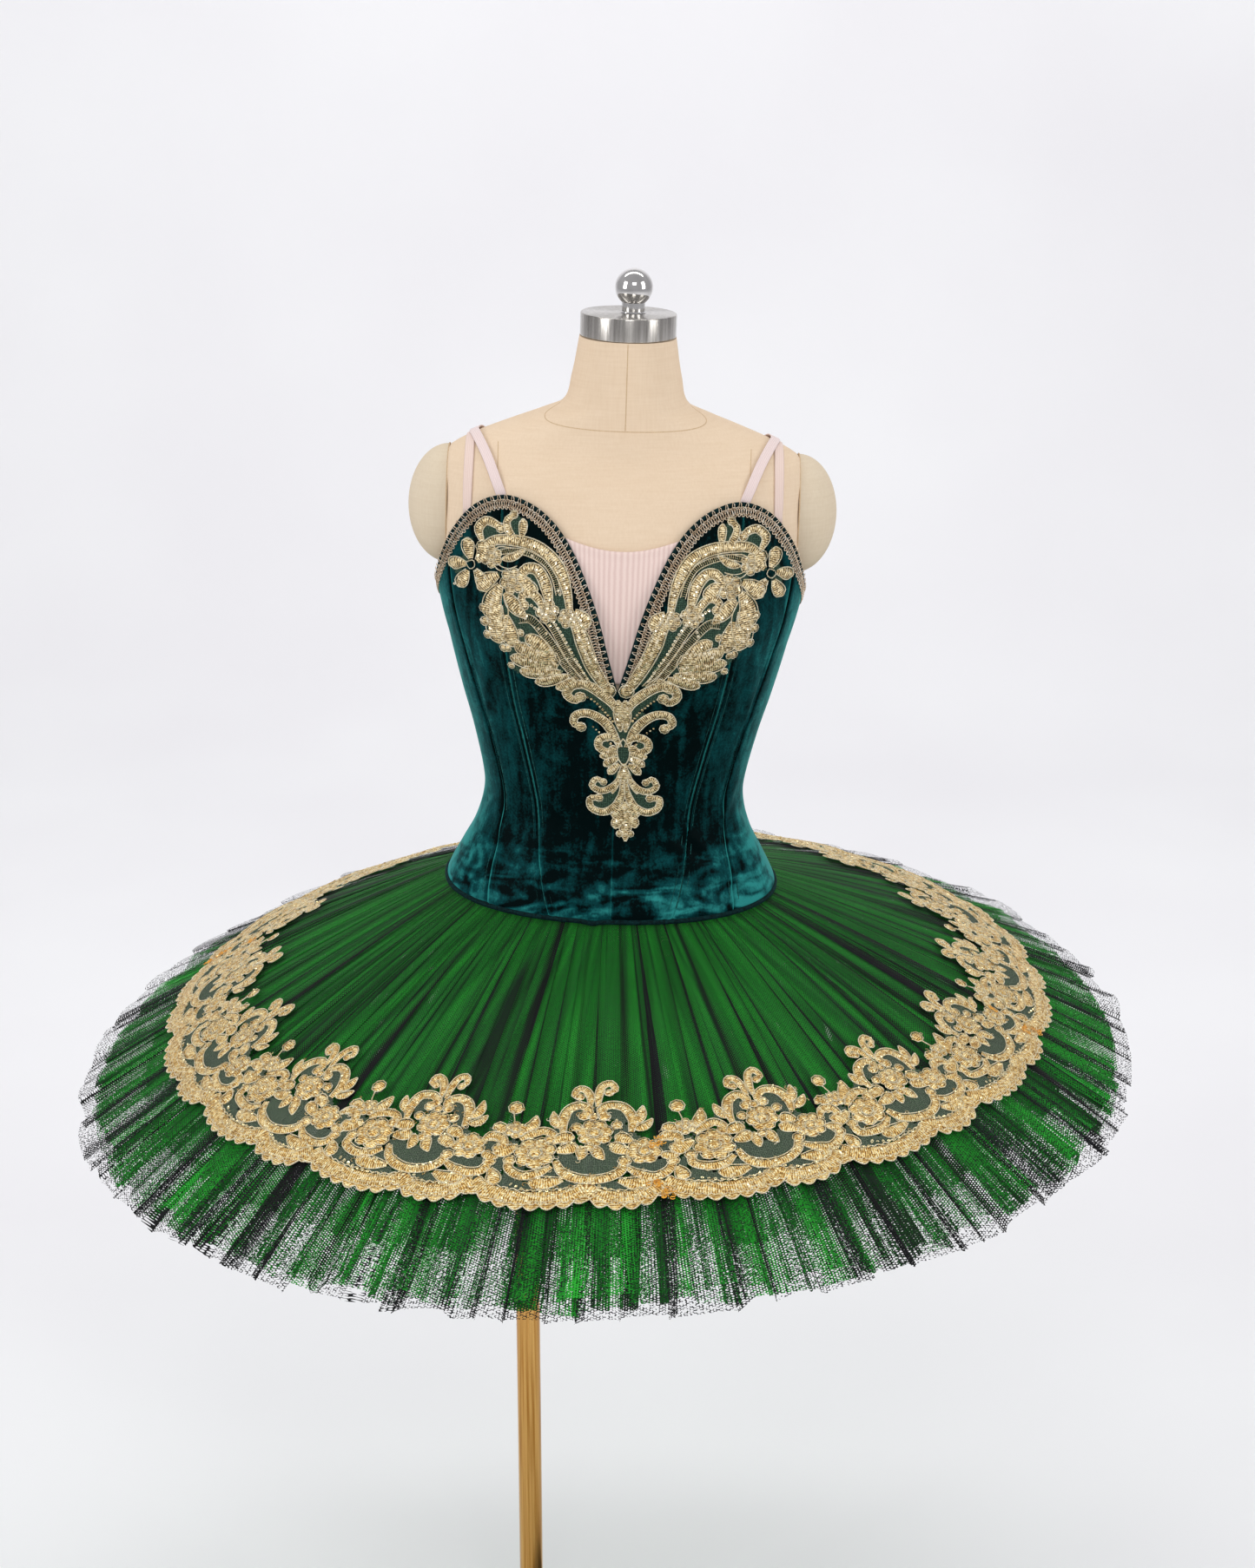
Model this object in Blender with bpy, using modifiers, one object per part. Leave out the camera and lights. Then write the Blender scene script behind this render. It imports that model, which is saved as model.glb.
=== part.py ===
"""Ballet tutu on a limbless dress form.

A boned velvet bodice with gold lace motifs, a pleated net skirt with a gold lace band,
plain knickers, and the form with its steel cap, brass pole and round base.
Metres, +Z up. The form faces -Y. The origin lies under the middle of the base, on the floor.
"""

import math
from collections import namedtuple

import bmesh
import bpy
from mathutils import Matrix, Vector

# Stand
BASE_RADIUS = 0.170
BASE_THICK = 0.010
BASE_EDGE = 0.0015
POLE_RADIUS = 0.012
POLE_X = -0.0975
POLE_Y = 0.004
JOIN_GAP = 0.0003

# Body of the form: it leans a little to its left, about a point at the basque
BODY_X = -0.012
LEAN_PIVOT = 0.950
LEAN = math.radians(1.8)
RING_POWER = 2.2
ARM_PLANE = 0.160
FORM_COLUMNS = 32
FORM_RING_STEP = 0.036
FORM_SPREAD = 0.07
NECK_TOP = 1.4655

BodyRing = namedtuple("BodyRing", "height half_width front back")
BODY_RINGS = (
    BodyRing(0.800, 0.114, 0.078, 0.084),
    BodyRing(0.804, 0.131, 0.090, 0.098),
    BodyRing(0.815, 0.149, 0.101, 0.110),
    BodyRing(0.838, 0.161, 0.109, 0.118),
    BodyRing(0.880, 0.165, 0.114, 0.121),
    BodyRing(0.915, 0.161, 0.114, 0.117),
    BodyRing(0.950, 0.154, 0.112, 0.110),
    BodyRing(0.977, 0.141, 0.102, 0.099),
    BodyRing(1.000, 0.129, 0.094, 0.090),
    BodyRing(1.027, 0.121, 0.088, 0.082),
    BodyRing(1.050, 0.120, 0.088, 0.080),
    BodyRing(1.099, 0.1305, 0.092, 0.084),
    BodyRing(1.141, 0.1425, 0.097, 0.088),
    BodyRing(1.186, 0.154, 0.102, 0.092),
    BodyRing(1.218, 0.1605, 0.104, 0.094),
    BodyRing(1.255, 0.165, 0.100, 0.096),
    BodyRing(1.300, 0.170, 0.088, 0.094),
    BodyRing(1.335, 0.171, 0.073, 0.086),
    BodyRing(1.352, 0.168, 0.062, 0.078),
    BodyRing(1.362, 0.158, 0.055, 0.071),
    BodyRing(1.373, 0.138, 0.050, 0.063),
    BodyRing(1.386, 0.106, 0.047, 0.056),
    BodyRing(1.396, 0.079, 0.047, 0.053),
    BodyRing(1.405, 0.058, 0.047, 0.051),
    BodyRing(1.430, 0.050, 0.045, 0.047),
    BodyRing(NECK_TOP, 0.0438, 0.0430, 0.0430),
)
BUST_APEX_X = 0.076
BUST_APEX_Z = 1.222
BUST_VALLEY = 0.030
BUST_SPREAD_X = 0.055
BUST_SPREAD_Z = 0.056
BUST_DEPTH = 0.015

# Arm caps, neck cap and finial of the form
ARM_CAP_RADII = (0.037, 0.042, 0.055)
ARM_CAP_CENTRE = (ARM_PLANE + JOIN_GAP, 0.007, 1.306)
CAP_RADIUS = 0.0435
CAP_HEIGHT = 0.021
CAP_EDGE = 0.0012
BALL_RADIUS = 0.017
STEM_RADIUS = 0.0105
STEM_HEIGHT = 0.010
FINIAL_SHIFT = 0.004

# Bodice: velvet wall, its ease over the form, its seams and its edges
VELVET = 0.0015
EASE = 0.0015
UNDERARM_EASE = 0.0040
BREAST_BRIDGE = 0.0056
SEAM_GAP = 0.0003
BASQUE_EDGE = 0.9495
BASQUE_DIP = 0.0050
PANEL_ROWS = 12

SeamAngles = namedtuple("SeamAngles", "height princess boned side_back back_boned")
SEAMS = (
    SeamAngles(0.945, 19.0, 45.0, 100.0, 140.0),
    SeamAngles(1.000, 29.0, 53.0, 104.0, 144.0),
    SeamAngles(1.050, 34.0, 56.0, 106.0, 146.0),
    SeamAngles(1.140, 38.0, 60.0, 106.0, 142.0),
    SeamAngles(1.230, 37.0, 64.0, 104.0, 138.0),
    SeamAngles(1.340, 37.0, 66.0, 104.0, 138.0),
)
EdgePoint = namedtuple("EdgePoint", "angle height")
NECKLINE = (
    EdgePoint(0.0, 1.158),
    EdgePoint(2.4, 1.189),
    EdgePoint(5.7, 1.228),
    EdgePoint(9.4, 1.260),
    EdgePoint(13.5, 1.287),
    EdgePoint(18.6, 1.308),
    EdgePoint(26.0, 1.323),
    EdgePoint(36.0, 1.329),
    EdgePoint(48.0, 1.319),
    EdgePoint(60.0, 1.295),
    EdgePoint(72.0, 1.266),
    EdgePoint(85.0, 1.241),
    EdgePoint(104.0, 1.224),
    EdgePoint(140.0, 1.214),
    EdgePoint(180.0, 1.210),
)
# Panel name, the seams at its two sides, its number of columns and how they crowd to the first
BodicePanel = namedtuple("BodicePanel", "name start end columns crowding")
PANELS = (
    BodicePanel("front", "centre_front", "princess", 6, 1.25),
    BodicePanel("front_side", "princess", "boned", 3, 1.0),
    BodicePanel("side", "boned", "side_back", 4, 1.0),
    BodicePanel("back_side", "side_back", "back_boned", 3, 1.0),
    BodicePanel("back", "back_boned", "centre_back", 3, 1.0),
)

# Trim on the bodice
BINDING_WIDTH = 0.003
BRAID_WIDTH = 0.010
BRAID_THICK = 0.0010
BRAID_STEPS = 32
INSET_THICK = 0.0010
INSET_TOP = 1.288
INSET_RISE = 0.010
STRAP_WIDTH = 0.009
STRAP_THICK = 0.0010
STRAP_STEPS = 7
STRAP_FOOT_GAP = 0.0010
MOTIF_THICK = 0.0016
TRIM_LIFT = 0.0010
CUP_MOTIF_LIFT = 0.0028
CENTRE_MOTIF_LIFT = 0.0020

StrapPath = namedtuple("StrapPath", "name front_x top_x back_x lift")
STRAPS = (
    StrapPath("outer", 0.140, 0.1395, 0.128, 0.0014),
    StrapPath("inner", 0.108, 0.1365, 0.092, 0.0030),
)

# Skirt
NET = 0.0010
RIM_X = -0.0175
RIM_RADIUS = 0.503
RIM_TILT = (0.1688, 0.0277, -0.0214, -0.0101)
DOME = 0.10
SkirtLayer = namedtuple("SkirtLayer", "name folds columns strips reach start_drop sink wave_in wave_out seed")
LAYERS = (
    SkirtLayer("net_overlay", 48, 3, 4, 1.00, 0.003, 0.000, 0.0012, 0.0075, 1),
    SkirtLayer("net_green_top", 36, 2, 3, 0.96, 0.0058, 0.009, 0.0010, 0.0050, 2),
    SkirtLayer("net_green_middle", 28, 2, 2, 0.84, 0.022, 0.016, 0.0010, 0.0050, 3),
    SkirtLayer("net_green_lower", 24, 2, 2, 0.60, 0.036, 0.024, 0.0010, 0.0045, 4),
)
# Share of a fold's width and share of its height at each column, from the top of the fold
FOLD_SHAPES = {
    3: ((0.0, 1.0), (0.28, 0.0), (0.74, 0.0)),
    2: ((0.0, 1.0), (0.45, 0.0)),
}
FOLD_LOW = 0.60
FOLD_HIGH = 1.10
RIM_STEP = 0.010
# Each round of net is four widths, seamed along the top of a fold
QUARTERS = ("front", "right", "back", "left")
FIRST_SEAM = -45.0
NET_SEAM_GAP = 0.0004
# Distance of a net from the body, and from the knickers for the nets that start below their top
NET_CLEAR = 0.0006
KNICKERS_CLEAR = 0.0014
KNICKERS_DROP = 0.030

# Lace band on the skirt, one map for each repeat, inner edge first
LACE = 0.0010
LACE_LIFT = 0.0006
LACE_REPEATS = 16
LACE_FIRST_ANGLE = 3.0
LACE_LENGTHS = (3, 4, 4, 5)
LACE_OUTER = 0.785
LACE_INNER = 0.460
# Place of the crown along a repeat
LACE_CROWN = 0.8
LACE_WAVE = 0.0030
LACE_LINES = (0.00, 0.20, 0.42, 0.62, 0.82, 1.00)
LACE_MAP = (
    "......####",
    "..##..#oo#",
    "##########",
    "#o##oo#oo#",
    "##########",
)

# Motifs on the bodice, inner and outer end of each row as x and height on the front
MotifRow = namedtuple("MotifRow", "inner_x inner_z outer_x outer_z")
CUP_MOTIF_ROWS = (
    MotifRow(0.024, 1.186, 0.058, 1.172),
    MotifRow(0.029, 1.204, 0.090, 1.162),
    MotifRow(0.036, 1.224, 0.080, 1.178),
    MotifRow(0.042, 1.242, 0.108, 1.176),
    MotifRow(0.050, 1.260, 0.126, 1.190),
    MotifRow(0.058, 1.276, 0.118, 1.222),
    MotifRow(0.070, 1.291, 0.146, 1.238),
    MotifRow(0.086, 1.301, 0.148, 1.262),
    MotifRow(0.104, 1.306, 0.136, 1.282),
)
CUP_MOTIF_MAP = (
    "#####",
    "##o##",
    "####.",
    "#o###",
    "####.",
    "#oo##",
    "#####",
    "###..",
)
# It hangs plumb while the form leans, so the middle of each row moves across
CentreRow = namedtuple("CentreRow", "height half_width middle")
CENTRE_MOTIF_ROWS = (
    CentreRow(1.164, 0.052, 0.0040),
    CentreRow(1.148, 0.053, 0.0045),
    CentreRow(1.134, 0.046, 0.0050),
    CentreRow(1.120, 0.022, 0.0055),
    CentreRow(1.106, 0.027, 0.0060),
    CentreRow(1.091, 0.026, 0.0067),
    CentreRow(1.079, 0.017, 0.0075),
    CentreRow(1.067, 0.030, 0.0083),
    CentreRow(1.052, 0.031, 0.0092),
    CentreRow(1.040, 0.013, 0.0100),
    CentreRow(1.017, 0.005, 0.0115),
)
CENTRE_MOTIF_MAP = (
    "##..##",
    "######",
    "#o##o#",
    "######",
    "##oo##",
    "##oo##",
    "######",
    "#o##o#",
    "######",
    "######",
)

# Knickers
KNICKERS = 0.0012
KNICKERS_EASE = 0.0062
GUSSET_HALF = 0.034
GUSSET_TURN = 0.10
KnickersRow = namedtuple("KnickersRow", "height angle")
KNICKERS_ROWS = (
    KnickersRow(0.912, 90.0),
    KnickersRow(0.882, 90.0),
    KnickersRow(0.872, 82.0),
    KnickersRow(0.857, 69.0),
    KnickersRow(0.838, 54.0),
    KnickersRow(0.815, 33.0),
    KnickersRow(0.804, 23.0),
    KnickersRow(0.800, 20.5),
)
KNICKERS_COLUMNS = 14

# Colours as the eye sees them: hex colour, roughness, metallic
Finish = namedtuple("Finish", "colour roughness metallic")
FINISHES = {
    "linen": Finish("e6d0b2", 0.85, 0.0),
    "linen_grey": Finish("dad0b6", 0.85, 0.0),
    "brushed_steel": Finish("b9b5b0", 0.30, 1.0),
    "polished_steel": Finish("c8c6c4", 0.10, 1.0),
    "brass": Finish("c29a62", 0.35, 1.0),
    "black_plate": Finish("2a2a2c", 0.45, 0.6),
    "teal_velvet": Finish("0b3f42", 0.70, 0.0),
    "pale_pink_mesh": Finish("dcc3bb", 0.80, 0.0),
    "champagne_lace": Finish("c3a677", 0.45, 0.2),
    "gold_lace": Finish("d9ae5c", 0.40, 0.3),
    "black_net": Finish("15301b", 0.85, 0.0),
    "green_net": Finish("1c6b26", 0.80, 0.0),
    "green_knit": Finish("17531f", 0.85, 0.0),
}

COLLECTION = "ballet_tutu_on_dress_form"


def clear_scene():
    for obj in list(bpy.data.objects):
        bpy.data.objects.remove(obj, do_unlink=True)


def part_collection():
    collection = bpy.data.collections.get(COLLECTION)
    if collection is None:
        collection = bpy.data.collections.new(COLLECTION)
        bpy.context.scene.collection.children.link(collection)
    return collection


def linear(channel):
    value = channel / 255.0
    return value / 12.92 if value <= 0.04045 else ((value + 0.055) / 1.055) ** 2.4


def finish_material(name):
    """A Principled material with the finish of that name."""
    material = bpy.data.materials.get(name)
    if material is not None:
        return material
    finish = FINISHES[name]
    channels = [linear(int(finish.colour[i:i + 2], 16)) for i in (0, 2, 4)]
    material = bpy.data.materials.new(name)
    material.use_nodes = True
    shader = material.node_tree.nodes["Principled BSDF"]
    shader.inputs["Base Color"].default_value = (*channels, 1.0)
    shader.inputs["Roughness"].default_value = finish.roughness
    shader.inputs["Metallic"].default_value = finish.metallic
    material.diffuse_color = (*channels, 1.0)
    return material


def add_object(name, mesh, finish):
    mesh.materials.append(finish_material(finish))
    obj = bpy.data.objects.new(name, mesh)
    part_collection().objects.link(obj)
    return obj


def mesh_from_bmesh(name, bm):
    mesh = bpy.data.meshes.new(name)
    bm.to_mesh(mesh)
    bm.free()
    mesh.shade_smooth()
    mesh.set_sharp_from_angle(angle=math.radians(40))
    return mesh


def lean(point):
    """Tip a point of the upright body about the pivot at the basque."""
    x = point.x - BODY_X
    z = point.z - LEAN_PIVOT
    return Vector((
        BODY_X + x * math.cos(LEAN) + z * math.sin(LEAN),
        point.y,
        LEAN_PIVOT - x * math.sin(LEAN) + z * math.cos(LEAN),
    ))


def smooth_table(rows, key, column, at):
    """Value of a column at a key, on a smooth curve through the rows."""
    keys = [getattr(row, key) for row in rows]
    values = [getattr(row, column) for row in rows]
    if at <= keys[0]:
        return values[0]
    if at >= keys[-1]:
        return values[-1]
    i = next(k for k in range(len(keys) - 1) if keys[k] <= at <= keys[k + 1])
    span = keys[i + 1] - keys[i]
    slopes = []
    for k in (i, i + 1):
        low = max(k - 1, 0)
        high = min(k + 1, len(keys) - 1)
        slopes.append((values[high] - values[low]) / (keys[high] - keys[low]) * span)
    t = (at - keys[i]) / span
    step = values[i + 1] - values[i]
    return (values[i] + slopes[0] * (t - 2 * t ** 2 + t ** 3)
            + step * (3 * t ** 2 - 2 * t ** 3) + slopes[1] * (t ** 3 - t ** 2))


def body_size(height):
    return [smooth_table(BODY_RINGS, "height", column, height)
            for column in ("half_width", "front", "back")]


def bust(x, z):
    """How far the bust stands out of the ring there, with a rounded valley in the middle."""
    across = (math.hypot(x, BUST_VALLEY) - BUST_APEX_X) / BUST_SPREAD_X
    along = (z - BUST_APEX_Z) / BUST_SPREAD_Z
    return BUST_DEPTH * math.exp(-across ** 2 - along ** 2)


def body_surface(angle, height, side_limit):
    """Point of the upright body, angle in degrees from the front towards +X."""
    half_width, front, back = body_size(height)
    turn = math.radians(angle)
    power = 2.0 / RING_POWER
    x = half_width * math.copysign(abs(math.sin(turn)) ** power, math.sin(turn))
    x = max(-side_limit, min(side_limit, x))
    depth = front if math.cos(turn) > 0 else back
    y = -depth * math.copysign(abs(math.cos(turn)) ** power, math.cos(turn))
    if math.cos(turn) > 0:
        y -= bust(x, height) * min(1.0, 2.0 * math.cos(turn))
    return Vector((BODY_X + x, y, height))


def body_normal(angle, height, side_limit):
    step_angle = 1.5
    step_height = 0.003
    low = max(height - step_height, BODY_RINGS[0].height)
    high = min(height + step_height, BODY_RINGS[-1].height)
    around = (body_surface(angle + step_angle, height, side_limit)
              - body_surface(angle - step_angle, height, side_limit))
    upward = body_surface(angle, high, side_limit) - body_surface(angle, low, side_limit)
    return around.cross(upward).normalized()


def body_point(angle, height, out=0.0, side_limit=ARM_PLANE):
    """Point at a distance out from the body, on the leaning form."""
    point = body_surface(angle, height, side_limit)
    if out:
        point = point + body_normal(angle, height, side_limit) * out
    return lean(point)


def front_angle(x, height):
    """Angle at which the ring at a height has this x from its middle."""
    half_width = body_size(height)[0]
    ratio = min(0.999, abs(x) / half_width) ** (RING_POWER / 2.0)
    return math.copysign(math.degrees(math.asin(ratio)), x)


def velvet_out(angle, height):
    """Distance from the body to the inside of the velvet."""
    rise = max(0.0, min(1.0, (height - 1.19) / 0.055))
    underarm = UNDERARM_EASE * rise * math.sin(math.radians(min(abs(angle), 90.0))) ** 4
    bridge = BREAST_BRIDGE * math.exp(-(angle / 40.0) ** 2 - ((height - BUST_APEX_Z) / 0.06) ** 2)
    return EASE + underarm + bridge


def velvet_point(angle, height, out=0.0):
    """Point at a distance out from the inside of the velvet."""
    return body_point(angle, height, velvet_out(angle, height) + out, 1.0)


def grid_object(name, grid, wall, finish, keep=None):
    """A wall outward from a grid of points on its inner side; keep tells which cells stay."""
    rows = len(grid)
    columns = len(grid[0])
    bm = bmesh.new()
    verts = [[bm.verts.new(point) for point in row] for row in grid]
    for i in range(rows - 1):
        for j in range(columns - 1):
            if keep is not None and not keep(i, j):
                continue
            bm.faces.new((verts[i][j], verts[i][j + 1], verts[i + 1][j + 1], verts[i + 1][j]))
    loose = [vert for vert in bm.verts if not vert.link_faces]
    bmesh.ops.delete(bm, geom=loose, context="VERTS")
    obj = add_object(name, mesh_from_bmesh(name, bm), finish)
    solidify = obj.modifiers.new("wall", "SOLIDIFY")
    solidify.thickness = wall
    solidify.offset = 1.0
    return obj


def turned_object(name, profile, finish, place, steps=32):
    """A turned solid from a profile of radius and height, outer side top to bottom."""
    mesh = bpy.data.meshes.new(name)
    mesh.from_pydata([(radius, 0.0, height) for radius, height in profile],
                     [(i, i + 1) for i in range(len(profile) - 1)], [])
    obj = add_object(name, mesh, finish)
    screw = obj.modifiers.new("turn", "SCREW")
    screw.steps = steps
    screw.render_steps = steps
    screw.use_merge_vertices = True
    screw.merge_threshold = 0.00001
    obj.matrix_world = place
    return obj


def add_base():
    profile = (
        (0.0, BASE_THICK),
        (BASE_RADIUS - BASE_EDGE, BASE_THICK),
        (BASE_RADIUS, BASE_THICK - BASE_EDGE),
        (BASE_RADIUS, BASE_EDGE),
        (BASE_RADIUS - BASE_EDGE, 0.0),
        (0.0, 0.0),
    )
    turned_object("stand_base", profile, "black_plate", Matrix.Identity(4))


def add_pole():
    bottom = BASE_THICK + JOIN_GAP
    top = lean(Vector((POLE_X + POLE_RADIUS, 0.0, BODY_RINGS[0].height))).z - JOIN_GAP
    profile = ((0.0, top), (POLE_RADIUS, top), (POLE_RADIUS, bottom), (0.0, bottom))
    turned_object("stand_pole", profile, "brass", Matrix.Translation((POLE_X, POLE_Y, 0.0)), steps=24)


def form_angles():
    """Angles of the form's columns, closer together at the front, back and sides."""
    turns = [2.0 * math.pi * k / FORM_COLUMNS for k in range(FORM_COLUMNS)]
    return [math.degrees(turn - FORM_SPREAD * math.sin(4.0 * turn)) for turn in turns]


def form_heights():
    """Heights of the form's rings, with one more wherever two rows lie far apart."""
    heights = [BODY_RINGS[0].height]
    for lower, upper in zip(BODY_RINGS, BODY_RINGS[1:]):
        if upper.height - lower.height > FORM_RING_STEP:
            heights.append(0.5 * (lower.height + upper.height))
        heights.append(upper.height)
    return heights


def add_torso():
    """The body of the form, one closed loft from its underside to the top of the neck."""
    bm = bmesh.new()
    rings = []
    angles = form_angles()
    for height in form_heights():
        rings.append([bm.verts.new(body_point(angle, height)) for angle in angles])
    for lower, upper in zip(rings, rings[1:]):
        for j in range(FORM_COLUMNS):
            k = (j + 1) % FORM_COLUMNS
            bm.faces.new((lower[j], lower[k], upper[k], upper[j]))
    bm.faces.new(list(reversed(rings[0])))
    bm.faces.new(rings[-1])
    add_object("form_torso", mesh_from_bmesh("form_torso", bm), "linen")


def add_arm_cap(side):
    """The rounded end of a shoulder, flat where it meets the body."""
    name = "form_arm_cap_" + ("right" if side > 0 else "left")
    bm = bmesh.new()
    bmesh.ops.create_uvsphere(bm, u_segments=16, v_segments=10, radius=1.0)
    bmesh.ops.transform(bm, verts=bm.verts, matrix=Matrix.Diagonal((*ARM_CAP_RADII, 1.0)))
    cut = bmesh.ops.bisect_plane(bm, geom=bm.verts[:] + bm.edges[:] + bm.faces[:],
                                 plane_co=(0.0, 0.0, 0.0), plane_no=(side, 0.0, 0.0),
                                 clear_inner=True)
    rim = [item for item in cut["geom_cut"] if isinstance(item, bmesh.types.BMEdge)]
    bmesh.ops.contextual_create(bm, geom=rim)
    bmesh.ops.recalc_face_normals(bm, faces=bm.faces)
    x, y, z = ARM_CAP_CENTRE
    for vert in bm.verts:
        vert.co = lean(vert.co + Vector((BODY_X + side * x, y, z)))
    add_object(name, mesh_from_bmesh(name, bm), "linen_grey")


def neck_place(shift, height):
    """Placement on the leaning neck, a height over its top."""
    foot = lean(Vector((BODY_X + shift, 0.0, NECK_TOP + height)))
    return Matrix.Translation(foot) @ Matrix.Rotation(LEAN, 4, "Y")


def add_neck_cap():
    profile = (
        (0.0, CAP_HEIGHT),
        (CAP_RADIUS - CAP_EDGE, CAP_HEIGHT),
        (CAP_RADIUS, CAP_HEIGHT - CAP_EDGE),
        (CAP_RADIUS, 0.0),
        (0.0, 0.0),
    )
    turned_object("form_neck_cap", profile, "brushed_steel", neck_place(0.0, JOIN_GAP))


def add_finial():
    """Ball on a short stem, turned in one piece."""
    middle = STEM_HEIGHT + math.sqrt(BALL_RADIUS ** 2 - STEM_RADIUS ** 2) - 0.001
    lowest = math.acos(-(middle - STEM_HEIGHT) / BALL_RADIUS)
    steps = 8
    arc = [lowest * k / steps for k in range(steps + 1)]
    profile = [(BALL_RADIUS * math.sin(a), middle + BALL_RADIUS * math.cos(a)) for a in arc]
    profile += [(STEM_RADIUS, STEM_HEIGHT - 0.001), (STEM_RADIUS, 0.0), (0.0, 0.0)]
    place = neck_place(FINIAL_SHIFT, 2 * JOIN_GAP + CAP_HEIGHT)
    turned_object("form_finial", profile, "polished_steel", place, steps=18)


def seam_angle(seam, height):
    if seam == "centre_front":
        return 0.0
    if seam == "centre_back":
        return 180.0
    return smooth_table(SEAMS, "height", seam, height)


def neckline_height(angle):
    return smooth_table(NECKLINE, "angle", "height", abs(angle))


def basque_height(angle):
    return BASQUE_EDGE - BASQUE_DIP * max(0.0, math.cos(math.radians(angle)))


def panel_spot(panel, side, across, up):
    """Angle and height of a spot in a panel, both given as shares of its size."""
    height = 1.1
    for _ in range(12):
        start = seam_angle(panel.start, height)
        end = seam_angle(panel.end, height)
        half_gap = math.degrees(0.5 * SEAM_GAP / body_size(height)[1]) * 1.4
        start += half_gap
        end -= half_gap
        angle = start + (end - start) * across
        low = basque_height(angle)
        height = low + (neckline_height(angle) - low) * up
    return side * angle, height


def add_bodice_panel(panel, side):
    name = "bodice_" + panel.name + ("_right" if side > 0 else "_left")
    grid = []
    for i in range(PANEL_ROWS):
        up = i / (PANEL_ROWS - 1)
        row = []
        for j in range(panel.columns + 1):
            across = j / panel.columns
            across = across if side > 0 else 1.0 - across
            angle, height = panel_spot(panel, side, across ** panel.crowding, up)
            row.append(velvet_point(angle, height))
        grid.append(row)
    grid_object(name, grid, VELVET, "teal_velvet")


def edge_direction(angle):
    """Step along the neckline and step into the velvet, as angle and height for one metre."""
    step = 0.5
    here = velvet_point(angle, neckline_height(angle))
    ahead = velvet_point(angle + step, neckline_height(angle + step))
    behind = velvet_point(angle - step, neckline_height(angle - step))
    along = (ahead - behind).normalized()
    around = velvet_point(angle + step, neckline_height(angle)) - here
    metres_per_degree = around.length / step
    slope_down = max(0.05, math.sqrt(max(0.0, 1.0 - along.z ** 2)))
    return along.z / metres_per_degree, -slope_down


def below_edge(angle, depth):
    """Angle and height of a spot at a depth below the neckline, square to it."""
    turn, fall = edge_direction(angle)
    return angle + turn * depth, neckline_height(angle) + fall * depth


def add_braid(side):
    """Flat braid along the top edge of one half, from the point of the neckline to the back."""
    name = "braid_" + ("right" if side > 0 else "left")
    lift = VELVET + TRIM_LIFT
    first = 1.6
    last = 179.6
    rows = []
    for depth in (BINDING_WIDTH + BRAID_WIDTH, BINDING_WIDTH):
        row = []
        for k in range(BRAID_STEPS + 1):
            share = k / BRAID_STEPS
            angle = first + (last - first) * share ** 1.5
            spot, height = below_edge(angle, depth)
            spot = max(0.45, min(179.6, spot))
            row.append(velvet_point(side * spot, height, lift))
        rows.append(row if side > 0 else row[::-1])
    grid_object(name, rows, BRAID_THICK, "champagne_lace")


def edge_angle_at(height):
    """Angle of the front neckline at a height below the top of the cups."""
    low = 0.0
    high = 36.0
    for _ in range(30):
        middle = 0.5 * (low + high)
        if neckline_height(middle) < height:
            low = middle
        else:
            high = middle
    return low


def add_inset():
    """Mesh inset that fills the point of the neckline."""
    rows = 6
    columns = 6
    lowest = NECKLINE[0].height + 0.012
    grid = []
    for i in range(rows):
        row = []
        for j in range(columns + 1):
            across = 2.0 * j / columns - 1.0
            height = lowest + (INSET_TOP + INSET_RISE * across ** 2 - lowest) * i / (rows - 1)
            width = edge_angle_at(height) - 0.35
            row.append(body_point(across * width, height, EASE))
        grid.append(row)
    grid_object("neckline_inset", grid, INSET_THICK, "pale_pink_mesh")


def ridge_height(x):
    """Height of the shoulder line at an x from the middle."""
    low = BODY_RINGS[-8].height
    high = NECK_TOP
    for _ in range(30):
        middle = 0.5 * (low + high)
        if body_size(middle)[0] > x:
            low = middle
        else:
            high = middle
    return low


def strap_spot(strap, side, share):
    """Angle and height along a strap, from -1 at its front end to 1 at its back end."""
    end_x = strap.front_x if share < 0 else strap.back_x
    x = strap.top_x + (end_x - strap.top_x) * abs(share)
    edge_height = 1.30 if share < 0 else 1.215
    edges = [front_angle(end_x + half, edge_height) for half in (-STRAP_WIDTH / 2, STRAP_WIDTH / 2)]
    foot = max(neckline_height(a if share < 0 else 180.0 - a) for a in edges) + STRAP_FOOT_GAP
    top = ridge_height(x)
    height = foot + (top - foot) * math.cos(0.5 * math.pi * share) ** 0.8 if abs(share) < 1 else foot
    angle = front_angle(min(x, body_size(height)[0] * 0.9995), height)
    return side * (angle if share <= 0 else 180.0 - angle), height


def add_strap(strap, side):
    """Narrow elastic strap over the shoulder, from the front edge to the back edge."""
    name = "strap_" + strap.name + ("_right" if side > 0 else "_left")
    centre = []
    for k in range(-STRAP_STEPS, STRAP_STEPS + 1):
        angle, height = strap_spot(strap, side, k / STRAP_STEPS)
        centre.append((body_point(angle, height, strap.lift),
                       body_normal(angle, height, ARM_PLANE)))
    rows = [[], []]
    for k, (point, normal) in enumerate(centre):
        ahead = centre[min(k + 1, len(centre) - 1)][0]
        behind = centre[max(k - 1, 0)][0]
        across = (ahead - behind).cross(normal).normalized() * (STRAP_WIDTH / 2)
        rows[0].append(point + across)
        rows[1].append(point - across)
    grid_object(name, rows, STRAP_THICK, "pale_pink_mesh")


def uneven(index, seed):
    """A repeatable share between 0 and 1 for the folds of one layer."""
    value = math.sin(12.9898 * index + 78.233 * seed) * 43758.5453
    return value - math.floor(value)


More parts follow.
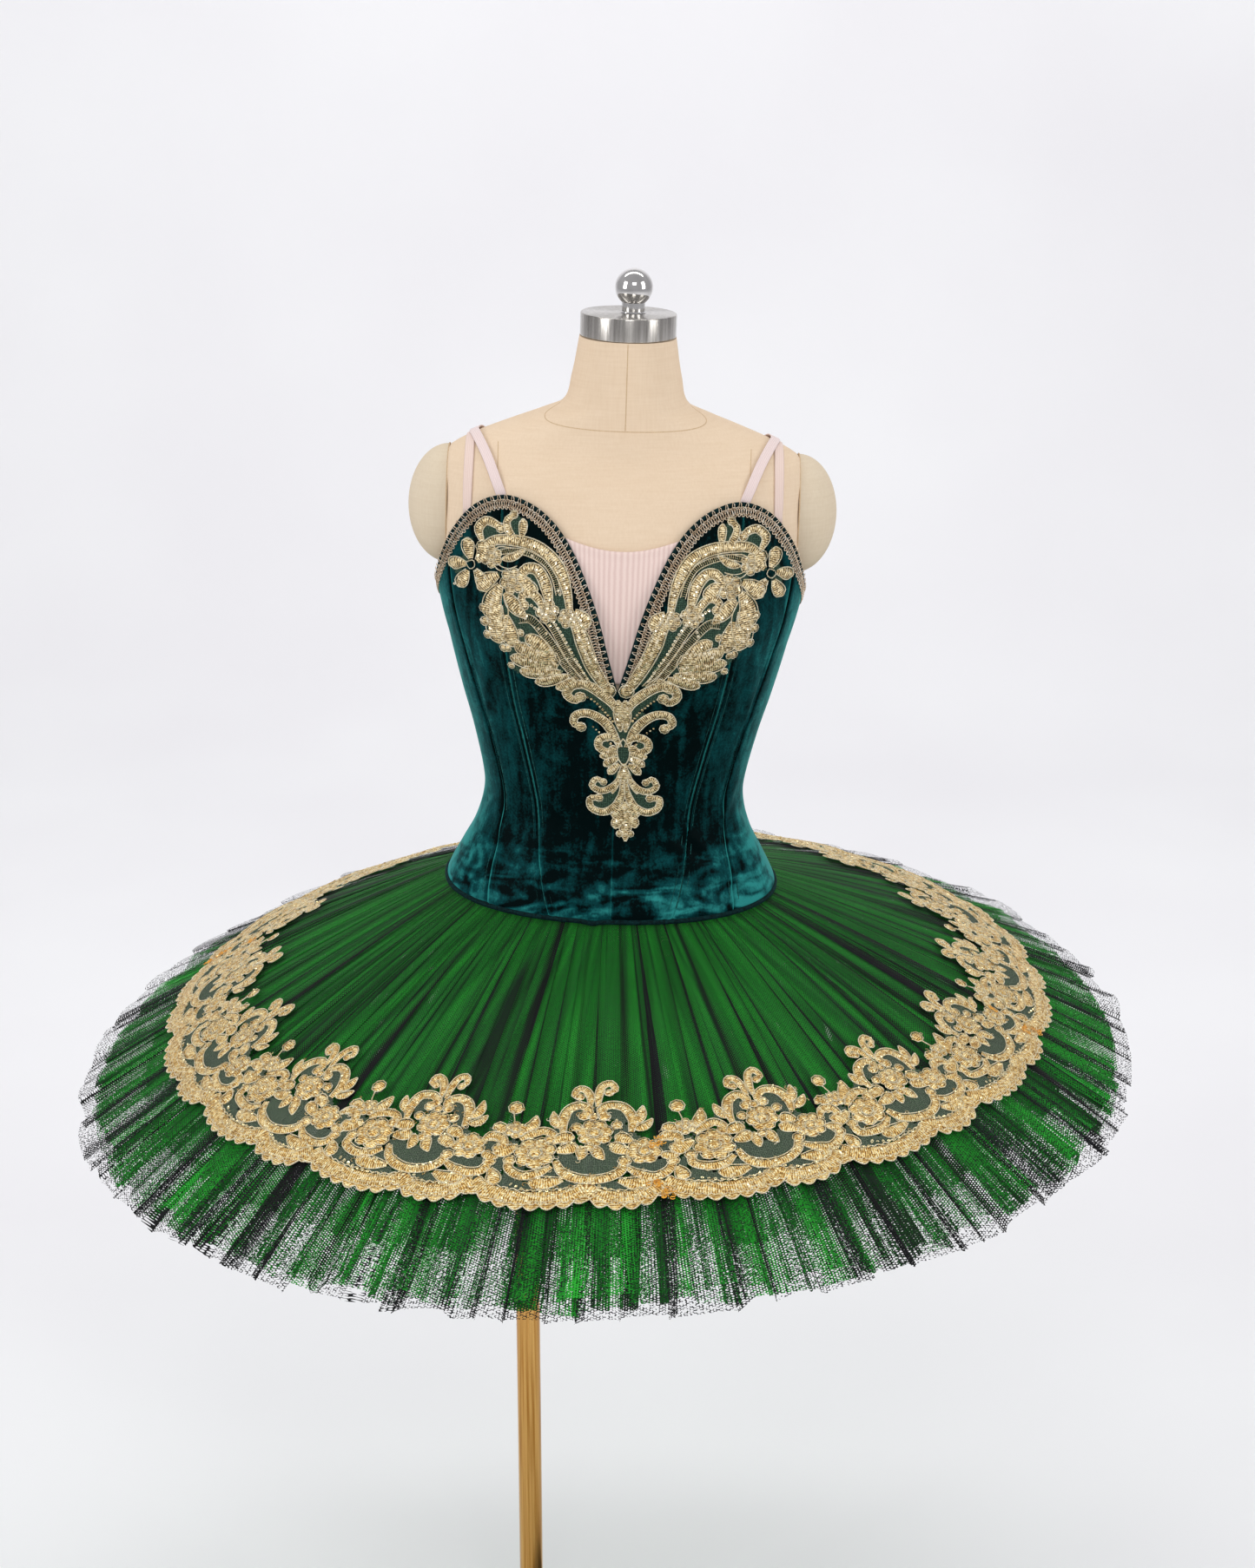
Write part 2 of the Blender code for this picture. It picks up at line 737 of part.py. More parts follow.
def fold_columns(layer):
    """Angle and fold height of each column round a skirt layer, folds of uneven width."""
    widths = [0.7 + 0.6 * uneven(k, layer.seed) for k in range(layer.folds)]
    turn = 360.0 / sum(widths)
    columns = []
    start = FIRST_SEAM
    for k, width in enumerate(widths):
        rise = FOLD_LOW + (FOLD_HIGH - FOLD_LOW) * uneven(k, layer.seed + 10)
        for share, height in FOLD_SHAPES[layer.columns]:
            columns.append((start + width * turn * share, rise * height))
        start += width * turn
    return columns + [(columns[0][0] + 360.0, columns[0][1])]


def rim_drop(angle):
    """Fall of the rim below the waist edge of the skirt, uneven round the figure."""
    turn = math.radians(angle)
    middle, ahead, sideways, oval = RIM_TILT
    return middle + ahead * math.cos(turn) + sideways * math.sin(turn) + oval * math.cos(2 * turn)


def skirt_point(angle, share, start_drop=0.0, sink=0.0, out=0.0):
    """Point of the skirt without its folds: share 0 at the body, 1 at the longest rim."""
    turn = math.radians(angle)
    inner = body_point(angle, basque_height(angle) - start_drop, out)
    rim = Vector((RIM_X + RIM_RADIUS * math.sin(turn), -RIM_RADIUS * math.cos(turn), 0.0))
    rim.z = basque_height(angle) - LAYERS[0].start_drop - rim_drop(angle)
    point = inner + (rim - inner) * share
    fall = share * (1.0 - DOME * (1.0 - share))
    point.z = inner.z + (rim.z - inner.z) * fall - sink * share
    return point


def layer_wave(layer, share):
    return layer.wave_in + (layer.wave_out - layer.wave_in) * share


def add_skirt_layer(layer):
    """One round of net in four widths, folded from the body to its rim."""
    out = NET_CLEAR if layer.start_drop < KNICKERS_DROP else KNICKERS_EASE + KNICKERS + KNICKERS_CLEAR
    finish = "black_net" if layer.name == "net_overlay" else "green_net"
    columns = fold_columns(layer)
    count = (len(columns) - 1) // len(QUARTERS)
    for index, quarter in enumerate(QUARTERS):
        width = columns[index * count:(index + 1) * count + 1]
        grid = [net_row(layer, width, i, out) for i in range(layer.strips + 1)]
        grid_object("skirt_" + layer.name + "_" + quarter, grid[::-1], NET, finish)


def net_row(layer, width, strip, out):
    """One row of points across a width of net, strip 0 at the body."""
    along = (strip / layer.strips) ** 1.15 * layer.reach
    gap = math.degrees(NET_SEAM_GAP / (BODY_RINGS[0].half_width + RIM_RADIUS * along))
    row = []
    for k, (angle, fold) in enumerate(width):
        if k == len(width) - 1:
            angle -= gap
        reach = along
        if strip == layer.strips:
            reach += RIM_STEP / RIM_RADIUS * (fold - 0.3)
        point = skirt_point(angle, reach, layer.start_drop, layer.sink, out)
        point.z += layer_wave(layer, along) * fold
        row.append(point)
    return row


def lace_share(line, column_share):
    """Share of the skirt's length at a line across the lace, its outer edge scalloped."""
    beyond_crown = column_share - LACE_CROWN
    scallop = 0.5 - 0.5 * math.cos(4.0 * math.pi * beyond_crown)
    outer = LACE_OUTER - 0.030 * (1.0 - scallop)
    crown = 0.5 + 0.5 * math.cos(2.0 * math.pi * beyond_crown)
    inner = LACE_INNER + 0.030 * (1.0 - crown)
    return outer + (inner - outer) * line


def lace_point(angle, line, column_share):
    """Point on the underside of the lace, over the tallest folds of the overlay."""
    overlay = LAYERS[0]
    share = lace_share(line, column_share)
    point = skirt_point(angle, share, overlay.start_drop, overlay.sink)
    swell = LACE_WAVE * (1.0 - line) * (0.5 + 0.5 * math.sin(math.radians(24.0 * angle)))
    point.z += layer_wave(overlay, share) * FOLD_HIGH + LACE_LIFT + 1.3 * NET + swell
    return point


def add_lace_length(index, first_repeat, repeats):
    """One length of the lace band, cut through at its larger openings."""
    cells = len(LACE_MAP[0])
    lines = LACE_LINES[::-1]
    repeat_angle = 360.0 / LACE_REPEATS
    start = LACE_FIRST_ANGLE + first_repeat * repeat_angle
    grid = []
    for line in lines:
        row = []
        for j in range(repeats * cells + 1):
            angle = start + repeat_angle * j / cells
            if j == repeats * cells:
                angle -= 0.10
            row.append(lace_point(angle, line, (j % cells) / cells))
        grid.append(row)
    grid_object("lace_band_" + str(index), grid[::-1], LACE, "gold_lace",
                keep=lambda i, j: LACE_MAP[len(LACE_MAP) - 1 - i][j % cells] == "#")


def motif_point(x, height, lift):
    return velvet_point(front_angle(x, height), height, VELVET + lift)


def add_cup_motif(side):
    """Corded lace motif that sweeps over one cup."""
    name = "lace_motif_" + ("right" if side > 0 else "left")
    columns = len(CUP_MOTIF_MAP[0])
    grid = []
    for row in CUP_MOTIF_ROWS:
        points = []
        for j in range(columns + 1):
            share = j / columns
            x = row.inner_x + (row.outer_x - row.inner_x) * share
            height = row.inner_z + (row.outer_z - row.inner_z) * share
            points.append(motif_point(side * x, height, CUP_MOTIF_LIFT))
        grid.append(points if side > 0 else points[::-1])
    grid_object(name, grid, MOTIF_THICK, "champagne_lace",
                keep=lambda i, j: CUP_MOTIF_MAP[i][j if side > 0 else columns - 1 - j] == "#")


def add_centre_motif():
    """Corded lace motif that hangs from the point of the neckline."""
    columns = len(CENTRE_MOTIF_MAP[0])
    grid = []
    for row in CENTRE_MOTIF_ROWS:
        points = []
        for j in range(columns + 1):
            x = row.middle + row.half_width * (2.0 * j / columns - 1.0)
            points.append(motif_point(x, row.height, CENTRE_MOTIF_LIFT))
        grid.append(points)
    grid_object("lace_motif_centre", grid[::-1], MOTIF_THICK, "champagne_lace",
                keep=lambda i, j: CENTRE_MOTIF_MAP[len(CENTRE_MOTIF_MAP) - 1 - i][j] == "#")


def add_knickers(front):
    """Half of the knickers, from the hip to the middle of the gusset, leg edges open."""
    middle = 0.0 if front else 180.0
    grid = []
    for row in KNICKERS_ROWS:
        width = row.angle - 0.12 if row.angle == 90.0 else row.angle
        grid.append([body_point(middle + width * (2.0 * j / KNICKERS_COLUMNS - 1.0), row.height,
                                KNICKERS_EASE)
                     for j in range(KNICKERS_COLUMNS + 1)])
    edge = grid[-1]
    side = -1.0 if front else 1.0
    for inset in (GUSSET_TURN, 1.0):
        row = []
        for j, start in enumerate(edge):
            across = (2.0 * j / KNICKERS_COLUMNS - 1.0) * (GUSSET_HALF if front else -GUSSET_HALF)
            point = start.lerp(Vector((BODY_X + across, side * SEAM_GAP, 0.0)), inset)
            point.z = lean(Vector((point.x, 0.0, BODY_RINGS[0].height - KNICKERS_EASE))).z
            row.append(point)
        grid.append(row)
    name = "knickers_" + ("front" if front else "back")
    grid_object(name, grid[::-1], KNICKERS, "green_knit")


def main():
    clear_scene()
    add_base()
    add_pole()
    add_torso()
    add_neck_cap()
    add_finial()
    for side in (-1, 1):
        add_arm_cap(side)
        for panel in PANELS:
            add_bodice_panel(panel, side)
        for strap in STRAPS:
            add_strap(strap, side)
        add_braid(side)
        add_cup_motif(side)
    add_inset()
    add_centre_motif()
    for layer in LAYERS:
        add_skirt_layer(layer)
    first_repeat = 0
    for index, repeats in enumerate(LACE_LENGTHS, start=1):
        add_lace_length(index, first_repeat, repeats)
        first_repeat += repeats
    add_knickers(True)
    add_knickers(False)


main()
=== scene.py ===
"""Ballet tutu on a limbless dress form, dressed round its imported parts.

Metres, +Z up, the front faces -Y. Angles are in degrees from the front towards +X.
"""

import math
from collections import namedtuple

import bpy
import numpy as np
from mathutils import Matrix, Vector


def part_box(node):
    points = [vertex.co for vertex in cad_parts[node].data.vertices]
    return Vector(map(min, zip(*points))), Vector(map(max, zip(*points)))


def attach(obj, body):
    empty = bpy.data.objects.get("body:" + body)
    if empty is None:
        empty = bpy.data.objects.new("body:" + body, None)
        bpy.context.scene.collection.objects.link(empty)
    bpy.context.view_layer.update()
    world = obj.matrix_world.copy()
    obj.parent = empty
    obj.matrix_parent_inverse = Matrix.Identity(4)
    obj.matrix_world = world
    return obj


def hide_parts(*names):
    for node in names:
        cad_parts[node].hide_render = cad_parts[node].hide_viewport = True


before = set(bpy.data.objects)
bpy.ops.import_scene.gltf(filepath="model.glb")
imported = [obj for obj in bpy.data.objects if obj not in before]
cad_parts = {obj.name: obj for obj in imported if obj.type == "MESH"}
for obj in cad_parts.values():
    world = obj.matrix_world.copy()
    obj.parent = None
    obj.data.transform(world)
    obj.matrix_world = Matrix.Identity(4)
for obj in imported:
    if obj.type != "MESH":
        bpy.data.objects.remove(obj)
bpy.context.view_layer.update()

bl_info = {
    "name": "Ballet tutu on a dress form",
    "version": (1, 0, 0),
    "blender": (4, 5, 0),
    "location": "3D View > Sidebar > Tutu",
    "description": "Adds the cloth, net, lace, form and stand of a classical tutu, and a pale stage",
    "category": "Add Mesh",
}

BODY = "root"
SIDES = ((-1, "left"), (1, "right"))

# Colours that the panel offers, as they are in the picture
USUAL_COLOURS = {
    # The velvet's colour is its brightest one, that of its painted sheen.
    "velvet": "2c8a87", "linen": "e6d0b5", "black_net": "15181c", "green_net": "24a52c", "elastic": "ecdad6",
    "champagne_thread": "d2b47a", "gold_thread": "eec264", "brass": "d8aa64", "steel": "cfcbc5",
}

# Picture: lens for a 36 mm long side, place of the camera and its fall below level
LENS = 62.3
CAMERA_PLACE = (0.0037, -2.45, 1.85)
CAMERA_FALL = math.radians(18.3)

# Lamps of the studio: sizes in metres, power in watts
Lamp = namedtuple("Lamp", "name place aim size power")
LAMPS = (
    Lamp("softbox_left", (-2.7, -1.7, 2.3), (0.0, 0.0, 1.1), (1.2, 2.2), 39.0),
    Lamp("softbox_right", (2.8, -1.5, 2.2), (0.0, 0.0, 1.1), (1.2, 2.2), 32.0),
    Lamp("softbox_front", (0.2, -3.4, 3.3), (0.0, 0.0, 1.0), (1.3, 0.9), 30.0),
    Lamp("strip_light", (-0.06, -1.25, 0.34), (-0.0975, 0.004, 0.5), (0.03, 0.6), 0.5),
    Lamp("wall_light", (0.0, 0.8, 4.6), (0.0, 4.2, 1.6), (5.0, 1.2), 98.0),
)

# Pitch of satin stitch, turns of Blender's band texture to a unit of its scale, and heights between which the
# painted sheen patches of the velvet begin; distances from the waist between which the nets fray
SATIN_PITCH = 0.0018
WAVES_PER_UNIT = 20.0
VELVET_SHINE_HEIGHTS = (1.030, 0.955)
FRAYED_FROM_TO = (0.22, 0.40)

# Body of the form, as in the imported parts
BODY_X = -0.012
LEAN_PIVOT = 0.950
LEAN = math.radians(1.8)
RING_POWER = 2.2
ARM_PLANE = 0.160
NECK_TOP = 1.4655
BodyRing = namedtuple("BodyRing", "height half_width front back")
BODY_RINGS = (
    BodyRing(0.800, 0.114, 0.078, 0.084),
    BodyRing(0.804, 0.131, 0.090, 0.098),
    BodyRing(0.815, 0.149, 0.101, 0.110),
    BodyRing(0.838, 0.161, 0.109, 0.118),
    BodyRing(0.880, 0.165, 0.114, 0.121),
    BodyRing(0.915, 0.161, 0.114, 0.117),
    BodyRing(0.950, 0.154, 0.112, 0.110),
    BodyRing(0.977, 0.141, 0.102, 0.099),
    BodyRing(1.000, 0.129, 0.094, 0.090),
    BodyRing(1.027, 0.121, 0.088, 0.082),
    BodyRing(1.050, 0.120, 0.088, 0.080),
    BodyRing(1.099, 0.1305, 0.092, 0.084),
    BodyRing(1.141, 0.1425, 0.097, 0.088),
    BodyRing(1.186, 0.154, 0.102, 0.092),
    BodyRing(1.218, 0.1605, 0.104, 0.094),
    BodyRing(1.255, 0.165, 0.100, 0.096),
    BodyRing(1.300, 0.170, 0.088, 0.094),
    BodyRing(1.335, 0.171, 0.073, 0.086),
    BodyRing(1.352, 0.168, 0.062, 0.078),
    BodyRing(1.362, 0.158, 0.055, 0.071),
    BodyRing(1.373, 0.138, 0.050, 0.063),
    BodyRing(1.386, 0.106, 0.047, 0.056),
    BodyRing(1.396, 0.079, 0.047, 0.053),
    BodyRing(1.405, 0.058, 0.047, 0.051),
    BodyRing(1.430, 0.050, 0.045, 0.047),
    BodyRing(NECK_TOP, 0.0438, 0.0430, 0.0430),
)
BUST_APEX_X = 0.076
BUST_APEX_Z = 1.222
BUST_VALLEY = 0.030
BUST_SPREAD_X = 0.055
BUST_SPREAD_Z = 0.056
BUST_DEPTH = 0.015

# Form and stand
ARM_CAP_RADII = (0.037, 0.042, 0.055)
ARM_CAP_CENTRE = (ARM_PLANE + 0.0003, 0.007, 1.306)
JOIN_GAP = 0.0003
CAP_RADIUS = 0.0435
CAP_HEIGHT = 0.021
CAP_EDGE = 0.0012
BALL_RADIUS = 0.017
STEM_RADIUS = 0.0105
STEM_HEIGHT = 0.010
FINIAL_SHIFT = 0.004
BASE_RADIUS = 0.170
BASE_THICK = 0.010
BASE_EDGE = 0.0015
POLE_RADIUS = 0.012
POLE_X = -0.0975
POLE_Y = 0.004

# Bodice
VELVET = 0.0015
EASE = 0.0015
UNDERARM_EASE = 0.0040
BREAST_BRIDGE = 0.0056
BASQUE_EDGE = 0.9495
BASQUE_DIP = 0.0050
SEAM_GAP = 0.0002
SeamAngles = namedtuple("SeamAngles", "height princess boned side_back back_boned")
SEAMS = (
    SeamAngles(0.945, 19.0, 45.0, 100.0, 140.0),
    SeamAngles(1.000, 29.0, 53.0, 104.0, 144.0),
    SeamAngles(1.050, 34.0, 56.0, 106.0, 146.0),
    SeamAngles(1.140, 38.0, 60.0, 106.0, 142.0),
    SeamAngles(1.230, 37.0, 64.0, 104.0, 138.0),
    SeamAngles(1.340, 37.0, 66.0, 104.0, 138.0),
)
EdgePoint = namedtuple("EdgePoint", "angle height")
NECKLINE = (
    EdgePoint(0.0, 1.158),
    EdgePoint(2.4, 1.189),
    EdgePoint(5.7, 1.228),
    EdgePoint(9.4, 1.260),
    EdgePoint(13.5, 1.287),
    EdgePoint(18.6, 1.308),
    EdgePoint(26.0, 1.323),
    EdgePoint(36.0, 1.329),
    EdgePoint(48.0, 1.319),
    EdgePoint(60.0, 1.295),
    EdgePoint(72.0, 1.266),
    EdgePoint(85.0, 1.241),
    EdgePoint(104.0, 1.224),
    EdgePoint(140.0, 1.214),
    EdgePoint(180.0, 1.210),
)
BodicePanel = namedtuple("BodicePanel", "name start end columns cut_width cut_length")
PANELS = (
    BodicePanel("front", "centre_front", "princess", 34, 0.105, 0.375),
    BodicePanel("front_side", "princess", "boned", 18, 0.062, 0.385),
    BodicePanel("side", "boned", "side_back", 24, 0.110, 0.350),
    BodicePanel("back_side", "side_back", "back_boned", 18, 0.085, 0.275),
    BodicePanel("back", "back_boned", "centre_back", 18, 0.090, 0.270),
)
PANEL_ROWS = 110
# Lines that show at each seam, in bone widths from it
SEAM_LINES = (("princess", (-1.0, 0.0, 1.0)), ("boned", (-1.0, 1.0)), ("side_back", (0.0,)),
              ("back_boned", (-1.0, 1.0)))
# Stitch lines at each side of a seam, and how deep the seam and the lines pull in
BONE_WIDTH = 0.0055
STITCH_WIDTH = 0.0011
SEAM_DEPTH = 0.0010
STITCH_DEPTH = 0.0005
PIPING_RADIUS = 0.0025
PIPING_DROP = 0.0010
PIPING_OUT = 0.0010
BASQUE_NOTCH = 0.0018
BINDING_RADIUS = 0.0019
BINDING_DROP = 0.0012
BINDING_OUT = 0.0006
SEAM_LINE_RADIUS = 0.00042
SEAM_LINE_SUNK = 0.0004
SEAM_LINE_TOP = 0.013
SEAM_LINE_FOOT = 0.005
# Metres round the body to a radian, at the seams and at the centre front
SEAM_ARC = 0.128
FRONT_ARC = 0.13

# Creases of the velvet: where each starts and ends, its width, and its height or depth
Crease = namedtuple("Crease", "angle_a height_a angle_b height_b width depth")
CREASES = (
    Crease(24.0, 1.034, 44.0, 0.996, 0.0055, 0.0022),
    Crease(26.0, 1.020, 40.0, 0.985, 0.0050, -0.0022),
    Crease(22.0, 1.012, 46.0, 0.975, 0.0060, 0.0020),
    Crease(30.0, 0.976, 52.0, 0.962, 0.0050, -0.0020),
    Crease(-8.0, 1.110, -22.0, 1.090, 0.0050, 0.0014),
    Crease(-8.0, 1.076, -26.0, 1.040, 0.0045, 0.0015),
    Crease(-10.0, 1.050, -22.0, 1.022, 0.0040, -0.0012),
    Crease(8.0, 1.020, 16.0, 1.024, 0.0030, 0.0012),
    Crease(-38.0, 1.010, -20.0, 0.985, 0.0060, 0.0016),
    Crease(-24.0, 0.972, -8.0, 0.958, 0.0045, 0.0014),
    Crease(-44.0, 0.990, -60.0, 1.030, 0.0070, 0.0018),
    Crease(50.0, 1.020, 66.0, 1.060, 0.0070, 0.0018),
    Crease(-66.0, 1.040, -84.0, 1.020, 0.0060, -0.0016),
    Crease(70.0, 1.030, 90.0, 1.012, 0.0060, -0.0018),
    Crease(-55.0, 1.130, -48.0, 1.190, 0.0070, 0.0014),
    Crease(57.0, 1.120, 50.0, 1.185, 0.0070, 0.0015),
    Crease(118.0, 1.040, 150.0, 1.000, 0.0070, 0.0022),
    Crease(112.0, 1.014, 146.0, 0.984, 0.0060, -0.0020),
    Crease(-120.0, 1.048, -152.0, 1.010, 0.0070, 0.0022),
    Crease(-114.0, 1.020, -142.0, 0.990, 0.0060, -0.0018),
    Crease(158.0, 1.060, 178.0, 1.046, 0.0060, 0.0016),
    Crease(-160.0, 1.066, -176.0, 1.036, 0.0055, -0.0015),
    Crease(126.0, 1.110, 132.0, 1.160, 0.0080, 0.0014),
    Crease(-128.0, 1.100, -136.0, 1.150, 0.0080, 0.0015),
)

# Skirt
RIM_X = -0.0175
RIM_RADIUS = 0.503
RIM_TILT = (0.1688, 0.0277, -0.0214, -0.0101)
DOME = 0.10
OVERLAY_START = 0.003
# How far the top nets go up under the basque
NET_TUCK = 0.004
# The columns of a pleat, and how far the nets lie out from the body at the waist
PLEAT_COLUMNS = 7
NET_OUT = 0.0006
LOW_NET_OUT = 0.0088
LOW_NET_DROP = 0.03
NET_CELL = 0.0024
QUARTERS = ("front", "right", "back", "left")
# One sheet of net: pleats round the skirt, rows, reach, drop at the body and at the rim,
# pleat height at the body and the rim, overlap of a pleat on the next, flutter of the hem, step of the hem
NetSheet = namedtuple("NetSheet", "name node pleats rows reach start_drop sink wave_in wave_out overlap "
                                  "flutter step finish cut_width seed")
NETS = (
    NetSheet("net_overlay", "skirt_net_overlay", 92, 44, 1.015, 0.0032, -0.0005, 0.0010, 0.0058, 0.14,
             0.0034, 0.014, "black_tulle", 3.2, 3),
    NetSheet("net_green_a", "skirt_net_green_top", 128, 30, 0.965, 0.0060, 0.0035, 0.0008, 0.0040, 0.16,
             0.0035, 0.010, "green_tulle", 3.2, 11),
    NetSheet("net_green_b", None, 96, 30, 0.975, 0.0090, 0.0090, 0.0008, 0.0045, 0.22,
             0.0045, 0.012, "green_tulle", 3.2, 23),
    NetSheet("net_green_c", "skirt_net_green_middle", 80, 20, 0.84, 0.022, 0.0160, 0.0010, 0.0050, 0.20,
             0.0040, 0.008, "green_tulle", 2.8, 37),
    NetSheet("net_green_d", "skirt_net_green_lower", 60, 14, 0.60, 0.036, 0.0240, 0.0010, 0.0045, 0.20,
             0.0030, 0.006, "green_tulle", 2.0, 41),
)

# Lace band: repeats round the skirt, where its first length starts, and the place of a crown along a repeat
LACE_REPEATS = 16
LACE_FIRST_ANGLE = 3.0
LACE_LENGTHS = (3, 4, 4, 5)
LACE_CROWN = 0.8
# Sequins scattered over one repeat
LACE_SEQUINS = 330

# Trim: the distance of each from the cloth under it
BINDING_WIDTH = 0.003
BRAID_WIDTH = 0.010
BRAID_PITCH = 0.0052
PICOT_PITCH = 0.0068
INSET_TOP = 1.288
INSET_RISE = 0.010
INSET_THICK = 0.0010
STRAP_WIDTH = 0.009
STRAP_THICK = 0.0010
STRAP_TUCK = 0.0015
STRAP_REACH = 0.0045
STRAP_LIE = 0.0003
StrapPath = namedtuple("StrapPath", "name front_x top_x back_x lift")
STRAPS = (
    StrapPath("outer", 0.140, 0.1395, 0.128, 0.0014),
    StrapPath("inner", 0.108, 0.1365, 0.092, 0.0030),
)

# Knickers: height and how far round from the middle each row goes
KNICKERS_THICK = 0.0012
KNICKERS_EASE = 0.0062
GUSSET_HALF = 0.034
KnickersRow = namedtuple("KnickersRow", "height angle")
KNICKERS_ROWS = (
    KnickersRow(0.800, 20.5),
    KnickersRow(0.804, 23.0),
    KnickersRow(0.815, 33.0),
    KnickersRow(0.838, 54.0),
    KnickersRow(0.857, 69.0),
    KnickersRow(0.872, 82.0),
    KnickersRow(0.882, 89.88),
    KnickersRow(0.912, 89.88),
)

# Embroidery strokes in millimetres. On a cup: distance out from the middle and height over one metre
Stroke = namedtuple("Stroke", "kind width points")
CUP_STROKES = (
    # Wide C scroll under the braid and its lining of rungs
    Stroke("scroll", 5.0, ((45, 238), (47, 252), (52, 267), (62, 281), (77, 290), (95, 292), (112, 290),
                           (122, 283))),
    Stroke("ladder", 2.2, ((54, 250), (58, 263), (66, 274), (79, 281), (94, 283), (106, 281))),
    Stroke("sequins", 3.4, ((45, 241), (48, 256), (54, 270), (65, 283), (82, 291))),
    # Inner volute and the small hook under it
    Stroke("scroll", 4.6, ((61, 239), (63, 250), (67, 261), (74, 269), (82, 269), (86, 263), (82, 257))),
    Stroke("sequins", 3.0, ((62, 246), (66, 259), (73, 268))),
    Stroke("scroll", 3.2, ((66, 236), (71, 245), (78, 250), (85, 246), (82, 240))),
    # Framed opening with a bristled leaf in it
    Stroke("cord", 0.55, ((88, 268), (97, 265), (107, 267), (112, 275), (108, 284), (96, 286))),
    Stroke("cord", 0.45, ((90, 271), (98, 268), (106, 270), (109, 276), (105, 282))),
    Stroke("leaf", 3.0, ((104, 275), (95, 278), (84, 285))),
    # Sprigs over the scroll
    Stroke("scroll", 3.6, ((122, 288), (126, 299), (120, 306), (111, 305), (107, 301))),
    Stroke("scroll", 3.0, ((93, 292), (99, 300), (101, 308), (96, 313))),
    Stroke("petal", 3.4, ((88, 294), (87, 302), (88, 311))),
    # Outer lobes
    Stroke("petal", 5.4, ((131, 272), (134, 280), (135, 290))),
    Stroke("petal", 5.2, ((136, 267), (143, 266), (150, 262))),
    Stroke("petal", 5.2, ((133, 261), (137, 253), (141, 245))),
    Stroke("petal", 5.0, ((127, 262), (122, 256), (119, 248))),
    Stroke("petal", 5.4, ((126, 271), (121, 277), (118, 286))),
    Stroke("cord", 0.5, ((134, 269), (129, 271), (127, 266), (131, 263), (135, 266), (134, 269))),
    Stroke("rose", 9.5, ((113, 276),)),
    Stroke("petal", 6.5, ((106, 262), (115, 256), (123, 247))),
    # Flower in the middle and the twin lobes below it
    Stroke("rose", 11.0, ((94, 258),)),
    Stroke("petal", 6.0, ((86, 262), (80, 255), (74, 247))),
    Stroke("petal", 8.0, ((104, 254), (110, 240), (112, 222))),
    Stroke("petal", 9.0, ((104, 238), (107, 222), (104, 203))),
    Stroke("petal", 7.5, ((98, 230), (95, 216), (92, 203))),
    Stroke("leaf", 5.5, ((99, 248), (90, 238), (80, 229))),
    Stroke("cord", 0.6, ((101, 246), (96, 234), (97, 220), (103, 209), (106, 217), (101, 229), (103, 241))),
    Stroke("bud", 3.8, ((118, 232),)),
    Stroke("bud", 3.8, ((117, 220),)),
    Stroke("bud", 3.6, ((114, 208),)),
    Stroke("bud", 3.6, ((100, 200),)),
    Stroke("bud", 3.4, ((88, 207),)),
    Stroke("sequins", 4.2, ((108, 246), (111, 232), (110, 216))),
    # Clusters beside the neckline
    Stroke("rose", 9.5, ((63, 236),)),
    Stroke("rose", 8.0, ((46, 232),)),
    Stroke("petal", 5.0, ((40, 238), (33, 232), (29, 224))),
    Stroke("sequins", 2.8, ((76, 240), (66, 235), (56, 237), (46, 231))),
    # Rungs that arch from the outer flower to the point of the cup
    Stroke("ladder", 3.4, ((87, 228), (77, 229), (67, 221), (57, 208), (48, 194), (38, 180), (28, 169))),
    Stroke("ladder", 2.6, ((68, 234), (59, 224), (50, 210), (42, 196), (33, 182), (25, 170))),
    Stroke("sequins", 3.0, ((60, 232), (52, 221), (44, 207), (36, 193), (27, 178))),
    # Spine along the neckline, a double row of sequins on it
    Stroke("scroll", 6.0, ((44, 236), (37, 222), (30, 206), (23, 190), (15, 176), (8, 165))),
    Stroke("sequins", 2.6, ((45, 240), (38, 224), (31, 208), (24, 192), (15, 177))),
    Stroke("sequins", 2.9, ((38, 236), (32, 222), (26, 208), (19, 193))),
    # Feathered lobes inside the arch
    Stroke("bud", 11.0, ((62, 195),)),
    Stroke("petal", 6.2, ((56, 198), (68, 207), (80, 214))),
    Stroke("petal", 6.6, ((56, 194), (72, 199), (90, 205))),
    Stroke("petal", 6.8, ((54, 189), (72, 190), (94, 192))),
    Stroke("petal", 6.2, ((50, 184), (68, 181), (86, 179))),
    Stroke("petal", 5.6, ((44, 180), (58, 175), (72, 170))),
    Stroke("petal", 4.8, ((36, 178), (44, 171), (54, 166))),
    Stroke("bud", 3.0, ((85, 217),)),
    Stroke("bud", 3.0, ((96, 200),)),
    Stroke("bud", 3.0, ((93, 184),)),
    Stroke("sequins", 3.2, ((58, 203), (70, 205), (82, 204))),
    Stroke("sequins", 3.2, ((56, 193), (72, 193), (88, 194))),
    Stroke("sequins", 3.4, ((50, 184), (64, 181), (78, 179))),
)
